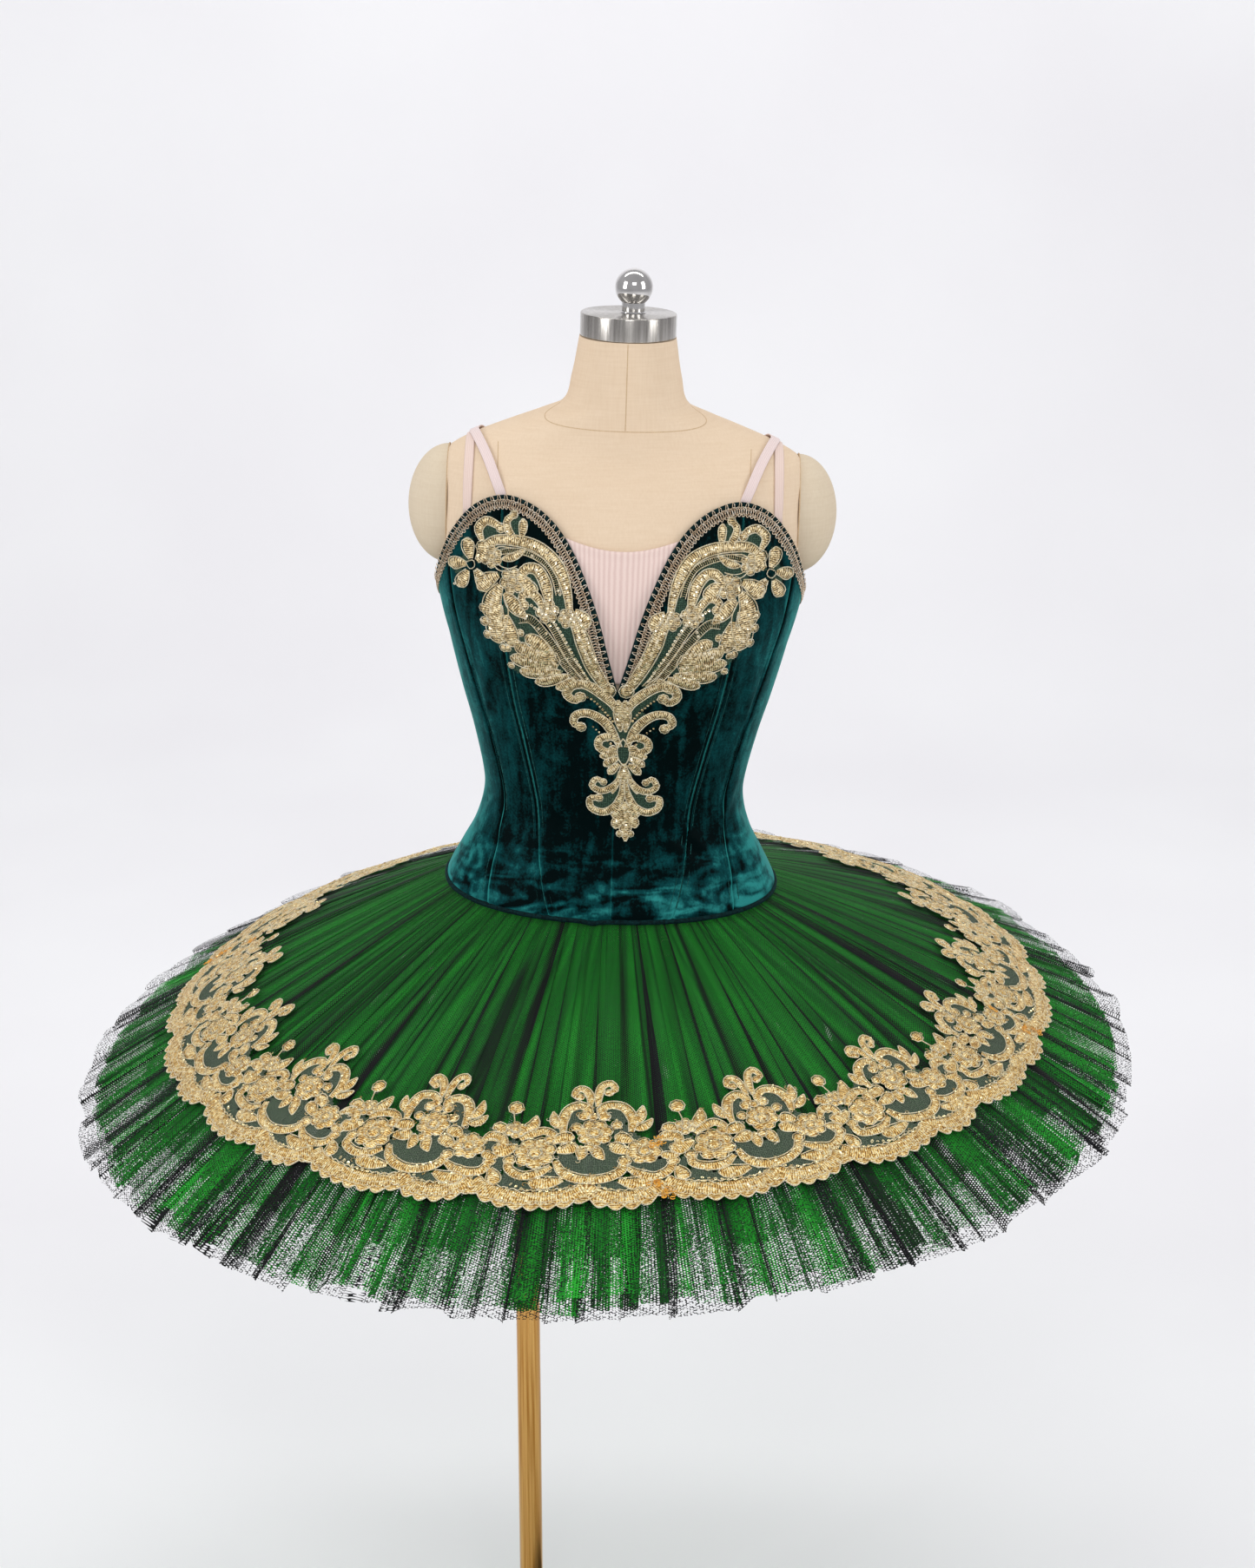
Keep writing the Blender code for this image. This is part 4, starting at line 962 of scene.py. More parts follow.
def linen(name, light, shade):
    """Bleached linen pasted over the shell: plain weave, threads about 0.6 mm, drawn at 1.6 mm."""
    cloth = Finish(name, 0.88, Specular_IOR_Level=0.2)
    place = cloth.place()
    threads = [cloth.noise(cloth.stretch(place, scale), 620.0)
               for scale in ((1.0, 1.0, 0.06), (0.06, 0.06, 1.0))]
    weave = cloth.calculate("MULTIPLY", cloth.calculate("ADD", *threads), 0.5)
    broad = cloth.calculate("MULTIPLY", cloth.noise(place, 7.0, 3.0), 0.3)
    cloth.bump(weave, 0.0002, 0.3)
    return cloth.colour(cloth.times_plus(weave, 0.7, broad), (0.34, shade), (0.62, light))


def seam_thread():
    """Matt cotton thread of the form's seams."""
    thread = Finish("seam_thread", 0.9)
    return thread.colour(thread.noise(thread.place(), 700.0), (0.3, "c0a582"), (0.7, "d2b894"))


def brushed_metal(name, hex_colour, dark, roughness, along):
    """Brushed and lacquered metal: fine scratches drawn out along one direction."""
    metal = Finish(name, roughness, 1.0, Anisotropic=0.9, Anisotropic_Rotation=0.25)
    scratches = metal.noise(metal.stretch(metal.place(), along), 400.0, 3.0)
    metal.bump(scratches, 0.00008)
    return metal.colour(scratches, (0.3, dark), (0.7, hex_colour))


def polished_metal(name, hex_colour):
    """Polished steel with faint handling marks in its gloss."""
    metal = Finish(name, 0.1, 1.0)
    marks = metal.noise(metal.place(), 60.0, 4.0)
    metal.feed("Roughness", metal.times_plus(marks, 0.10, 0.04))
    return metal.colour(marks, (0.2, "c2c0bd"), (0.8, hex_colour))


def painted_plate(name, hex_colour):
    """Powder-coated steel: a fine orange-peel grain of about 1 mm."""
    plate = Finish(name, 0.45)
    grain = plate.noise(plate.place(), 900.0)
    plate.bump(grain, 0.0002)
    return plate.colour(grain, (0.3, "1b1b1d"), (0.7, hex_colour))


def ribbed_mesh(name, light, shade, rib, strength):
    """Power mesh or woven elastic: fine ribs along the cloth."""
    cloth = Finish(name, 0.8, Sheen_Weight=0.2, Specular_IOR_Level=0.3)
    uv = cloth.cloth()
    ribs = cloth.bands(uv, rib, 0.6, 1.0)
    flecks = cloth.calculate("MULTIPLY", cloth.noise(uv, 1500.0), 0.4)
    cloth.bump(ribs, 0.0004, strength)
    return cloth.colour(cloth.times_plus(ribs, 0.6, flecks), (0.2, shade), (0.7, light))


def knit(name, hex_colour, shade):
    """Plain matt jersey, columns of stitches about 1.2 mm wide."""
    cloth = Finish(name, 0.85, Sheen_Weight=0.2)
    stitches = cloth.node("TexVoronoi", {"Scale": 1.0, "Randomness": 0.25},
                          Vector=cloth.cloth(830.0, 620.0)).outputs["Distance"]
    cloth.bump(stitches, 0.0003)
    return cloth.colour(stitches, (0.1, hex_colour), (0.6, shade))


def metal_thread(name, dark, middle, light, roughness):
    """Metallic yarn laid in satin stitch, its light painted into the colour: painted highlight and shade on
    turns side by side, painted shade between the loops, and a painted glint on some loops as if they faced
    the light.
    """
    thread = Finish(name, roughness, 0.5, Sheen_Weight=0.1)
    # Painted highlight and shade on alternate turns of the satin stitch.
    turns = thread.bands(thread.cloth(), SATIN_PITCH, 3.0, 2.0, 1.5)
    # Painted shade in the gaps between loops, and a painted glint on some loops.
    loops = thread.node("TexVoronoi", {"Scale": 470.0}, Vector=thread.place())
    painted_highlight = thread.part(loops.outputs["Color"], "X")
    painted_thread_light = thread.times_plus(loops.outputs["Distance"], -0.35, thread.calculate("MULTIPLY", turns, 0.42))
    painted_thread_light = thread.times_plus(painted_highlight, 0.45, painted_thread_light)
    thread.bump(thread.calculate("ADD", painted_thread_light, painted_highlight), 0.0009, 0.8)
    # The darkest colour is painted shade, the lightest a painted highlight.
    return thread.colour(painted_thread_light, (0.00, dark), (0.26, middle), (0.58, light))


def sequin_film(name, hex_colour):
    """Vacuum-coated film, punched and slightly dished: nearly a mirror, its gloss a little uneven."""
    film = Finish(name, 0.16, 0.65)
    haze = film.noise(film.place(), 300.0)
    film.feed("Roughness", film.times_plus(haze, 0.2, 0.08))
    return film.colour(haze, (0.3, "e3c88e"), (0.6, hex_colour))


def stray_thread(name, hex_colour):
    """Loose rayon thread, glossy along its filaments."""
    thread = Finish(name, 0.5, Sheen_Weight=0.3)
    return thread.colour(thread.noise(thread.place(), 900.0), (0.3, "c9820c"), (0.7, hex_colour))


def lace_net(name, dark, light):
    """Fine bobbin net under the embroidery, dense enough to veil what is below it."""
    net = Finish(name, 0.8, Specular_IOR_Level=0.2)
    cells = net.node("TexVoronoi", {"Scale": 1.0, "Randomness": 0.3}, Vector=net.cloth(700.0, 700.0))
    cells = cells.outputs["Distance"]
    net.feed("Alpha", net.times_plus(cells, 0.55, 0.55))
    return net.colour(cells, (0.25, dark), (0.7, light))


def backdrop_paper(low, high):
    """Matt paper roll with a faint cloudiness."""
    paper = Finish("paper_backdrop", 0.95, Specular_IOR_Level=0.0)
    return paper.colour(paper.noise(paper.place(), 1.2), (0.3, low), (0.7, high))


# Stage


def add_area_light(name, place, aim, size, power):
    light = bpy.data.lights.new(name, "AREA")
    light.shape = "RECTANGLE"
    light.size, light.size_y = size
    light.energy = power
    lamp = bpy.data.objects.new(name, light)
    lamp.location = place
    lamp.rotation_euler = (Vector(aim) - Vector(place)).to_track_quat("-Z", "Y").to_euler()
    bpy.context.scene.collection.objects.link(lamp)


def add_camera():
    camera = bpy.data.cameras.new("camera")
    camera.lens = bpy.context.scene.tutu_sizes.lens
    camera.sensor_width = 36.0
    item = bpy.data.objects.new("camera", camera)
    item.location = CAMERA_PLACE
    item.rotation_euler = (math.radians(90.0) - CAMERA_FALL, 0.0, 0.0)
    bpy.context.scene.collection.objects.link(item)
    bpy.context.scene.camera = item


def add_backdrop():
    """Floor that turns up into a wall in one soft bend."""
    depth, bend, width, height, front = 3.2, 1.2, 16.0, 7.0, -8.0
    turn = np.linspace(0.0, 0.5 * math.pi, 13)
    y = np.concatenate(([front, 0.0], depth + bend * np.sin(turn), [depth + bend]))
    z = np.concatenate(([0.0, 0.0], bend - bend * np.cos(turn), [height]))
    x = np.array([-0.5, 0.5]) * width
    grid = np.stack(np.broadcast_arrays(x[None], y[:, None], z[:, None]), axis=-1)
    backdrop = sheet_piece("backdrop", grid, backdrop_paper("f1f0f2", "f6f6f7"))


def add_stage():
    scene = bpy.context.scene
    scene.view_settings.view_transform = "Standard"
    scene.cycles.transparent_max_bounces = 32
    add_camera()
    add_backdrop()
    world = bpy.data.worlds.new("studio")
    world.use_nodes = True
    world.node_tree.nodes["Background"].inputs["Color"].default_value = linear("e8e8ec")
    world.node_tree.nodes["Background"].inputs["Strength"].default_value = 0.54
    scene.world = world
    for lamp in LAMPS:
        add_area_light(*lamp)


# Form and stand


def add_torso():
    heights = np.concatenate((np.linspace(0.800, 0.830, 12), np.linspace(0.836, 1.340, 90),
                              np.linspace(1.343, NECK_TOP, 60)))
    angles = np.linspace(0.0, 360.0, 120, endpoint=False)
    grid = body_points(angles[None, :], heights[:, None])
    work = Needlework()
    cloth = linen("bleached_linen", *dyed("linen", "e6d0b5", "dfc7aa"))
    uv = np.stack(np.broadcast_arrays(angles[None, :] / 400.0, heights[:, None]), axis=-1)
    work.sheet(grid, uv=uv, closed=True)
    work.close_ends(0, len(heights), len(angles), inside_out=True)
    torso = work.build("form_shell", [cloth])
    finish_piece(torso, ["form_torso"])
    add_form_seams()


def surface_line(angles, heights, out):
    """Points and normals of a line that lies on the form."""
    return body_points(angles, heights, out), leaning(body_normal(angles, heights, ARM_PLANE))


def add_form_seams():
    """Fine seams of the linen cover: front, neck foot, princess lines and the edges of the arm caps."""
    work = Needlework()
    steps = 70
    radius = 0.00055
    sunk = -0.00025
    for angle, foot in ((0.0, 1.388), (180.0, 1.414)):
        heights = np.linspace(foot, NECK_TOP - 0.001, steps)
        work.tube(*surface_line(np.full(steps, angle), heights, sunk), radius)
    round_angles = np.linspace(-180.0, 180.0, 2 * steps)
    ahead = np.cos(np.radians(round_angles))
    neck_foot = 1.4045 - 0.0175 * np.maximum(ahead, 0.0) ** 0.8 + 0.009 * np.maximum(-ahead, 0.0)
    work.tube(*surface_line(round_angles, neck_foot, sunk), radius)
    for side in (-1, 1):
        heights = np.linspace(1.20, 1.372, steps)
        across = 0.108 + 0.006 * (heights - 1.20) / 0.17
        for back in (False, True):
            angles = front_angle(across, heights)
            angles = side * (180.0 - angles if back else angles)
            work.tube(*surface_line(angles, heights, sunk), radius)
        turn = np.linspace(0.0, 2.0 * math.pi, 90)
        join = np.stack((np.full(90, BODY_X + side * (ARM_PLANE + 0.0002)),
                         ARM_CAP_CENTRE[1] + (ARM_CAP_RADII[1] + 0.0002) * np.cos(turn),
                         ARM_CAP_CENTRE[2] + (ARM_CAP_RADII[2] + 0.0002) * np.sin(turn)), axis=1)
        outward = np.stack((np.zeros(90), np.cos(turn), np.sin(turn)), axis=1)
        work.tube(lean(join), outward, 0.0007)
    seams = work.build("form_seams", [seam_thread()])
    finish_piece(seams, [])


def add_arm_caps():
    cloth = linen("bleached_linen_grey", *dyed("linen", "dccdb5", "d5c4aa"))
    for side, name in SIDES:
        turn = np.linspace(0.0, 0.5 * math.pi, 26)
        ring = np.linspace(0.0, 2.0 * math.pi, 72, endpoint=False)
        radius = np.sin(turn[::-1])
        radius[-1] = 0.02
        x = ARM_CAP_RADII[0] * np.cos(turn[::-1])
        grid = np.stack((np.repeat(side * x[:, None], len(ring), axis=1),
                         ARM_CAP_RADII[1] * radius[:, None] * np.cos(ring)[None],
                         ARM_CAP_RADII[2] * radius[:, None] * np.sin(ring)[None]), axis=-1)
        centre = np.array((BODY_X + side * ARM_CAP_CENTRE[0], ARM_CAP_CENTRE[1], ARM_CAP_CENTRE[2]))
        grid = lean(grid + centre)
        work = Needlework()
        faces = strip_faces(len(turn), len(ring), closed=True)
        work.add(grid, faces if side > 0 else faces[:, ::-1], 0, grid[..., 1:])
        work.close_ends(0, len(turn), len(ring), inside_out=side > 0)
        cap = work.build("arm_cap_cover_" + name, [cloth])
        finish_piece(cap, ["form_arm_cap_" + name])


def neck_place(shift, height):
    """Placement on the leaning neck, a height over its top."""
    foot = lean(np.array((BODY_X + shift, 0.0, NECK_TOP + height)))
    return Matrix.Translation(foot) @ Matrix.Rotation(LEAN, 4, "Y")


def rounded(radius, top, bottom, edge, steps=5):
    """Profile of a disc or drum with rounded rims, from the middle of its top to that of its underside."""
    turn = np.linspace(0.0, 0.5 * math.pi, steps)
    upper = [(radius - edge + edge * math.sin(t), top - edge + edge * math.cos(t)) for t in turn]
    lower = [(radius - edge + edge * math.cos(t), bottom + edge - edge * math.sin(t)) for t in turn]
    return upper + lower


def add_neck_metal():
    steel = brushed_metal("brushed_stainless_steel", *dyed("steel", "cfcbc5", "9e9a94"), 0.24,
                          (1.0, 1.0, 0.04))
    drum = rounded(CAP_RADIUS, CAP_HEIGHT, 0.0, CAP_EDGE)
    cap = turned_piece("neck_cap", drum, neck_place(0.0, JOIN_GAP), steel)
    finish_piece(cap, ["form_neck_cap"])
    middle = STEM_HEIGHT + math.sqrt(BALL_RADIUS ** 2 - STEM_RADIUS ** 2) - 0.001
    lowest = math.acos(-(middle - STEM_HEIGHT) / BALL_RADIUS)
    arc = np.linspace(0.02, lowest, 40)
    profile = [(BALL_RADIUS * math.sin(a), middle + BALL_RADIUS * math.cos(a)) for a in arc]
    profile += [(STEM_RADIUS, STEM_HEIGHT - 0.001), (STEM_RADIUS, 0.0012), (STEM_RADIUS + 0.0010, 0.0)]
    ball = turned_piece("finial_ball", profile, neck_place(FINIAL_SHIFT, 2 * JOIN_GAP + CAP_HEIGHT),
                        polished_metal("polished_steel", *dyed("steel", "eeecea")))
    finish_piece(ball, ["form_finial"])


def add_stand():
    bottom, top = (corner.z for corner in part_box("stand_pole"))
    profile = rounded(POLE_RADIUS, top - bottom, 0.0, 0.0006)
    brass = brushed_metal("brushed_brass", *dyed("brass", "d8aa64", "a87434"), 0.16, (1.0, 1.0, 0.02))
    pole = turned_piece("pole_tube", profile, Matrix.Translation((POLE_X, POLE_Y, bottom)), brass, steps=72)
    finish_piece(pole, ["stand_pole"])
    plate = painted_plate("powder_coated_steel", "2b2b2e")
    disc = rounded(BASE_RADIUS, BASE_THICK, 0.0, BASE_EDGE)
    base = turned_piece("base_plate", disc, Matrix.Identity(4), plate, steps=160)
    finish_piece(base, ["stand_base"])


# Bodice


def seam_relief(distance):
    """How far the velvet pulls in near a seam and at the stitch lines beside it."""
    seam = SEAM_DEPTH * np.exp(-(distance / 0.0014) ** 2)
    stitch = STITCH_DEPTH * np.exp(-((distance - BONE_WIDTH) / STITCH_WIDTH) ** 2)
    bone = 0.0005 * np.exp(-((distance - 0.5 * BONE_WIDTH) / 0.0018) ** 2)
    return bone - seam - stitch


def crease_relief(angle, height):
    """Soft ridges and troughs of the worn velvet."""
    relief = np.zeros(np.broadcast(angle, height).shape)
    for crease in CREASES:
        ax, ay = math.radians(crease.angle_a) * FRONT_ARC, crease.height_a
        bx, by = math.radians(crease.angle_b) * FRONT_ARC, crease.height_b
        length = math.hypot(bx - ax, by - ay)
        dx, dy = (bx - ax) / length, (by - ay) / length
        px = np.radians(angle) * FRONT_ARC - ax
        py = height - ay
        along = (px * dx + py * dy) / length
        side = np.abs(px * dy - py * dx) + 0.25 * crease.width * np.sin(7.0 * along)
        fade = np.clip(1.0 - (2.0 * np.clip(along, -0.2, 1.2) - 1.0) ** 2 / 1.6, 0.0, 1.0)
        relief += crease.depth * fade * np.exp(-(side / crease.width) ** 2)
    return relief


def panel_spots(panel, side):
    """Angles and heights of a panel's grid, its columns from left to right."""
    across = np.linspace(0.0, 1.0, panel.columns + 1)
    if side < 0:
        across = across[::-1]
    if panel.name == "front":
        across = across ** 1.15
    up = np.linspace(0.0, 1.0, PANEL_ROWS)
    height = np.full((PANEL_ROWS, panel.columns + 1), 1.1)
    for _ in range(14):
        half_gap = np.degrees(0.5 * SEAM_GAP / 0.12)
        start = seam_angle(panel.start, height) + half_gap
        end = seam_angle(panel.end, height) - half_gap
        angle = start + (end - start) * across[None, :]
        low = basque_height(angle)
        height = low + (neckline_height(angle) - low) * up[:, None]
    return side * angle, height, side * start, side * end


def add_bodice():
    # Dark face-on colour, middle colour, and the colour of the painted sheen.
    velvet = crushed_velvet(*dyed("velvet", "010c0d", "094144", "2c8a87"))
    for side, side_name in SIDES:
        for panel in PANELS:
            angle, height, start, end = panel_spots(panel, side)
            near = np.minimum(np.abs(angle - start), np.abs(angle - end))
            if panel.start == "centre_front":
                near = np.abs(angle - end)
            metres = np.radians(near) * SEAM_ARC
            relief = seam_relief(metres) + crease_relief(angle, height)
            if panel.name == "front":
                centre = np.radians(np.abs(angle)) * FRONT_ARC
                relief -= 0.0006 * np.exp(-(centre / 0.0010) ** 2)
            grid = velvet_points(angle, height, relief)
            name = "velvet_" + panel.name + "_" + side_name
            piece = sheet_piece(name, grid, velvet, VELVET)
            finish_piece(piece, ["bodice_" + panel.name + "_" + side_name])
    add_edges()
    add_seam_lines()


def add_seam_lines():
    """Fine raised lines of velvet along the seams and the stitching of the bones beside them, coloured
    lighter than the velvet as a painted highlight on their ridges.
    """
    # Painted highlight: a lighter copy of the velvet for the raised lines.
    fold = plain_velvet("velvet_fold_line", *dyed("velvet", "2f706c"))
    work = Needlework()
    for side in (-1, 1):
        for seam, offsets in SEAM_LINES:
            for offset in offsets:
                heights = np.linspace(0.955, 1.320, 120)
                angles = seam_angle(seam, heights) + np.degrees(offset * BONE_WIDTH / SEAM_ARC)
                below = heights < neckline_height(angles) - SEAM_LINE_TOP
                inside = below & (heights > basque_height(angles) + SEAM_LINE_FOOT)
                angles, heights = side * angles[inside], heights[inside]
                work.tube(*velvet_line(angles, heights, VELVET - SEAM_LINE_SUNK), SEAM_LINE_RADIUS, sides=3)
    lines = work.build("velvet_seam_lines", [fold])
    finish_piece(lines, [])


def add_edges():
    """Rolled lower edge of the basque and the narrow binding along the neckline."""
    dark = plain_velvet("rolled_velvet_edge", *dyed("velvet", "0a2f31"))
    work = Needlework()
    angles = np.linspace(-179.7, 179.7, 420)
    line, normals = velvet_line(angles, basque_height(angles) - PIPING_DROP, PIPING_OUT)
    line[:, 2] -= BASQUE_NOTCH * np.exp(-((angles + 5.0) / 2.2) ** 2)
    work.tube(line, normals, bpy.context.scene.tutu_sizes.piping_radius, sides=8)
    piping = work.build("basque_edge", [dark])
    finish_piece(piping, [])
    for side, name in SIDES:
        work = Needlework()
        angles = np.concatenate((np.linspace(0.3, 12.0, 70), np.linspace(12.2, 179.7, 170))) * side
        line, normals = velvet_line(angles, neckline_height(angles) - BINDING_DROP, BINDING_OUT)
        work.tube(line, normals, BINDING_RADIUS, sides=8)
        binding = work.build("neck_binding_" + name, [dark])
        finish_piece(binding, [])


# Skirt


def pleat_columns(net):
    """Angle, height, hem step, lap and darkness of each column of a net, its pleats uneven; the darkness is
    painted shade in the valleys and, at the laps, denser net.
    """
    random = np.random.default_rng(net.seed)
    widths = 0.45 + 1.1 * random.random(net.pleats) ** 1.3
    turn = 360.0 / widths.sum()
    rise = 0.45 + 0.65 * random.random(net.pleats)
    strong = random.random(net.pleats) ** 6
    overlap = net.overlap * (0.2 + 5.0 * strong)
    strong = np.clip(1.5 * strong, 0.0, 1.0)
    step = net.step * (random.random(net.pleats) - 0.45)
    start = np.concatenate(([0.0], np.cumsum(widths)[:-1])) * turn - 45.0
    wide = widths * turn
    # Painted shade in the valley of each pleat, stronger in some.
    painted_valley_shade = 0.3 + 0.7 * random.random(net.pleats)
    columns = [[], [], [], [], []]
    # Each column: share across the pleat, and shares of its rise, of the hem step, of the lap and of the
    # painted valley shade.
    for share, rise_share, hem_share, lap_share, valley_shade_share in (
            (0.00, 0.00, 0.0, 0.0, 1.0), (0.14, 0.50, 0.3, 0.0, 0.12), (0.42, 0.88, 0.8, 0.0, 0.0),
            (0.70, 1.00, 1.0, 0.0, 0.0), (0.92, 0.90, 1.0, 0.5, 0.1), (1.00, 0.62, 1.0, 1.0, 0.5),
            (0.99, 0.25, 0.9, 0.55, 1.0)):
        laid = strong if lap_share else 0.0
        values = (start + wide * share, rise * rise_share, step * hem_share, wide * overlap * lap_share,
                  np.maximum(painted_valley_shade * valley_shade_share, laid))
        for column, value in zip(columns, values):
            column.append(value)
    return [np.stack(values, axis=1).ravel() for values in columns]


def net_grid(net):
    """Points of one sheet of net, the last column meeting the first, and how dark its folds are: painted
    shade in the valleys, denser net at the laps.
    """
    random = np.random.default_rng(net.seed + 100)
    angle, height, hem, lap, dark = pleat_columns(net)
    along = np.linspace(0.0, 1.0, net.rows) ** 1.05
    pleat = np.repeat(np.arange(net.pleats), PLEAT_COLUMNS)
    phase = random.random((net.pleats, 3)) * 2 * math.pi
    drift = random.normal(0.0, 1.0, net.pleats) * (360.0 / net.pleats) * 0.30
    share = along[:, None] * net.reach + hem[None] / RIM_RADIUS * along[:, None] ** 6
    wander = drift[pleat][None] * np.sin(2.2 * along[:, None] + phase[pleat, 0][None]) * along[:, None]
    opening = 0.55 + 0.45 * np.sin(3.0 * along[:, None] + phase[pleat, 1][None])
    place = angle[None] + wander + lap[None] * opening
    out = NET_OUT if net.start_drop < LOW_NET_DROP else LOW_NET_OUT
    points = skirt_points(place, share, net.start_drop, net.sink, out)
    wave = net.wave_in + (net.wave_out - net.wave_in) * along[:, None] * net.reach
    points[..., 2] += wave * height[None]
    ripple = np.sin(phase[pleat, 2][None] + 1.3 * np.arange(len(pleat))[None] / PLEAT_COLUMNS)
    points[..., 2] += net.flutter * along[:, None] ** 5 * ripple
    if net.start_drop < LOW_NET_DROP:
        tuck = body_points(place[0], basque_height(place[0]) + NET_TUCK, NET_OUT)
        points = np.concatenate((tuck[None], points))
        along = np.concatenate(([0.0], along))
    # The painted valley shade comes and goes along each pleat.
    fading = np.clip(0.65 + 0.6 * np.sin(5.0 * along[:, None] + phase[pleat, 0][None]), 0.1, 1.0)
    dark = dark[None] * fading
    return np.concatenate((points, points[:, :1]), axis=1), np.concatenate((dark, dark[:, :1]), axis=1)


def add_nets():
    cell = bpy.context.scene.tutu_sizes.net_cell
    finishes = {
        "black_tulle": tulle("black_nylon_tulle", *dyed("black_net", "15181c", "0b0d10", "050607"),
                             -0.85, 0.15, cell, 0.1, 4.0),
        "green_tulle": tulle("green_nylon_net", *dyed("green_net", "26a82e", "128020", "05330c"),
                             1.40, 1.95, cell, 0.2, 9.0),
    }
    for net in NETS:
        grid, dark = net_grid(net)
        uv = lengths_uv(grid)
        uv[..., 0] = uv[int(0.7 * len(grid)), :, 0]
        piece = sheet_piece(net.name, grid[:, ::-1], finishes[net.finish], uv=uv[:, ::-1])
        # The fold attribute carries the painted valley shade and the laps to the net's material.
        shade = piece.data.attributes.new("fold", "FLOAT", "POINT")
        shade.data.foreach_set("value", dark[:, ::-1].astype(np.float32).ravel())
        nodes = [net.node + "_" + quarter for quarter in QUARTERS] if net.node else []
        finish_piece(piece, nodes)


# Embroidery: drawn flat in millimetres, seen from its face, and laid on the cloth by a placing function


def smooth_path(points, steps):
    """A smooth line through points, evenly stepped."""
    points = np.asarray(points, float)
    places = distances(points)
    return spline(places, points, np.linspace(0.0, places[-1], steps))


def path_length(points):
    return float(np.linalg.norm(np.diff(np.asarray(points, float), axis=0), axis=1).sum())


def circle_path(centre, radius, steps, start=0.0, turn=2.0 * math.pi):
    """Points round a centre; over less than a whole turn they make an open arc."""
    angles = start + turn * np.linspace(0.0, 1.0, steps + 1)
    return np.array(centre) + radius * np.stack((np.cos(angles), np.sin(angles)), axis=1)


GOLD, CORD, SEQUIN, STRAY = range(4)


def sideways(line):
    """Directions to the right of a drawn line."""
    along = unit(np.gradient(line, axis=0))
    return np.stack((along[:, 1], -along[:, 0]), axis=1)


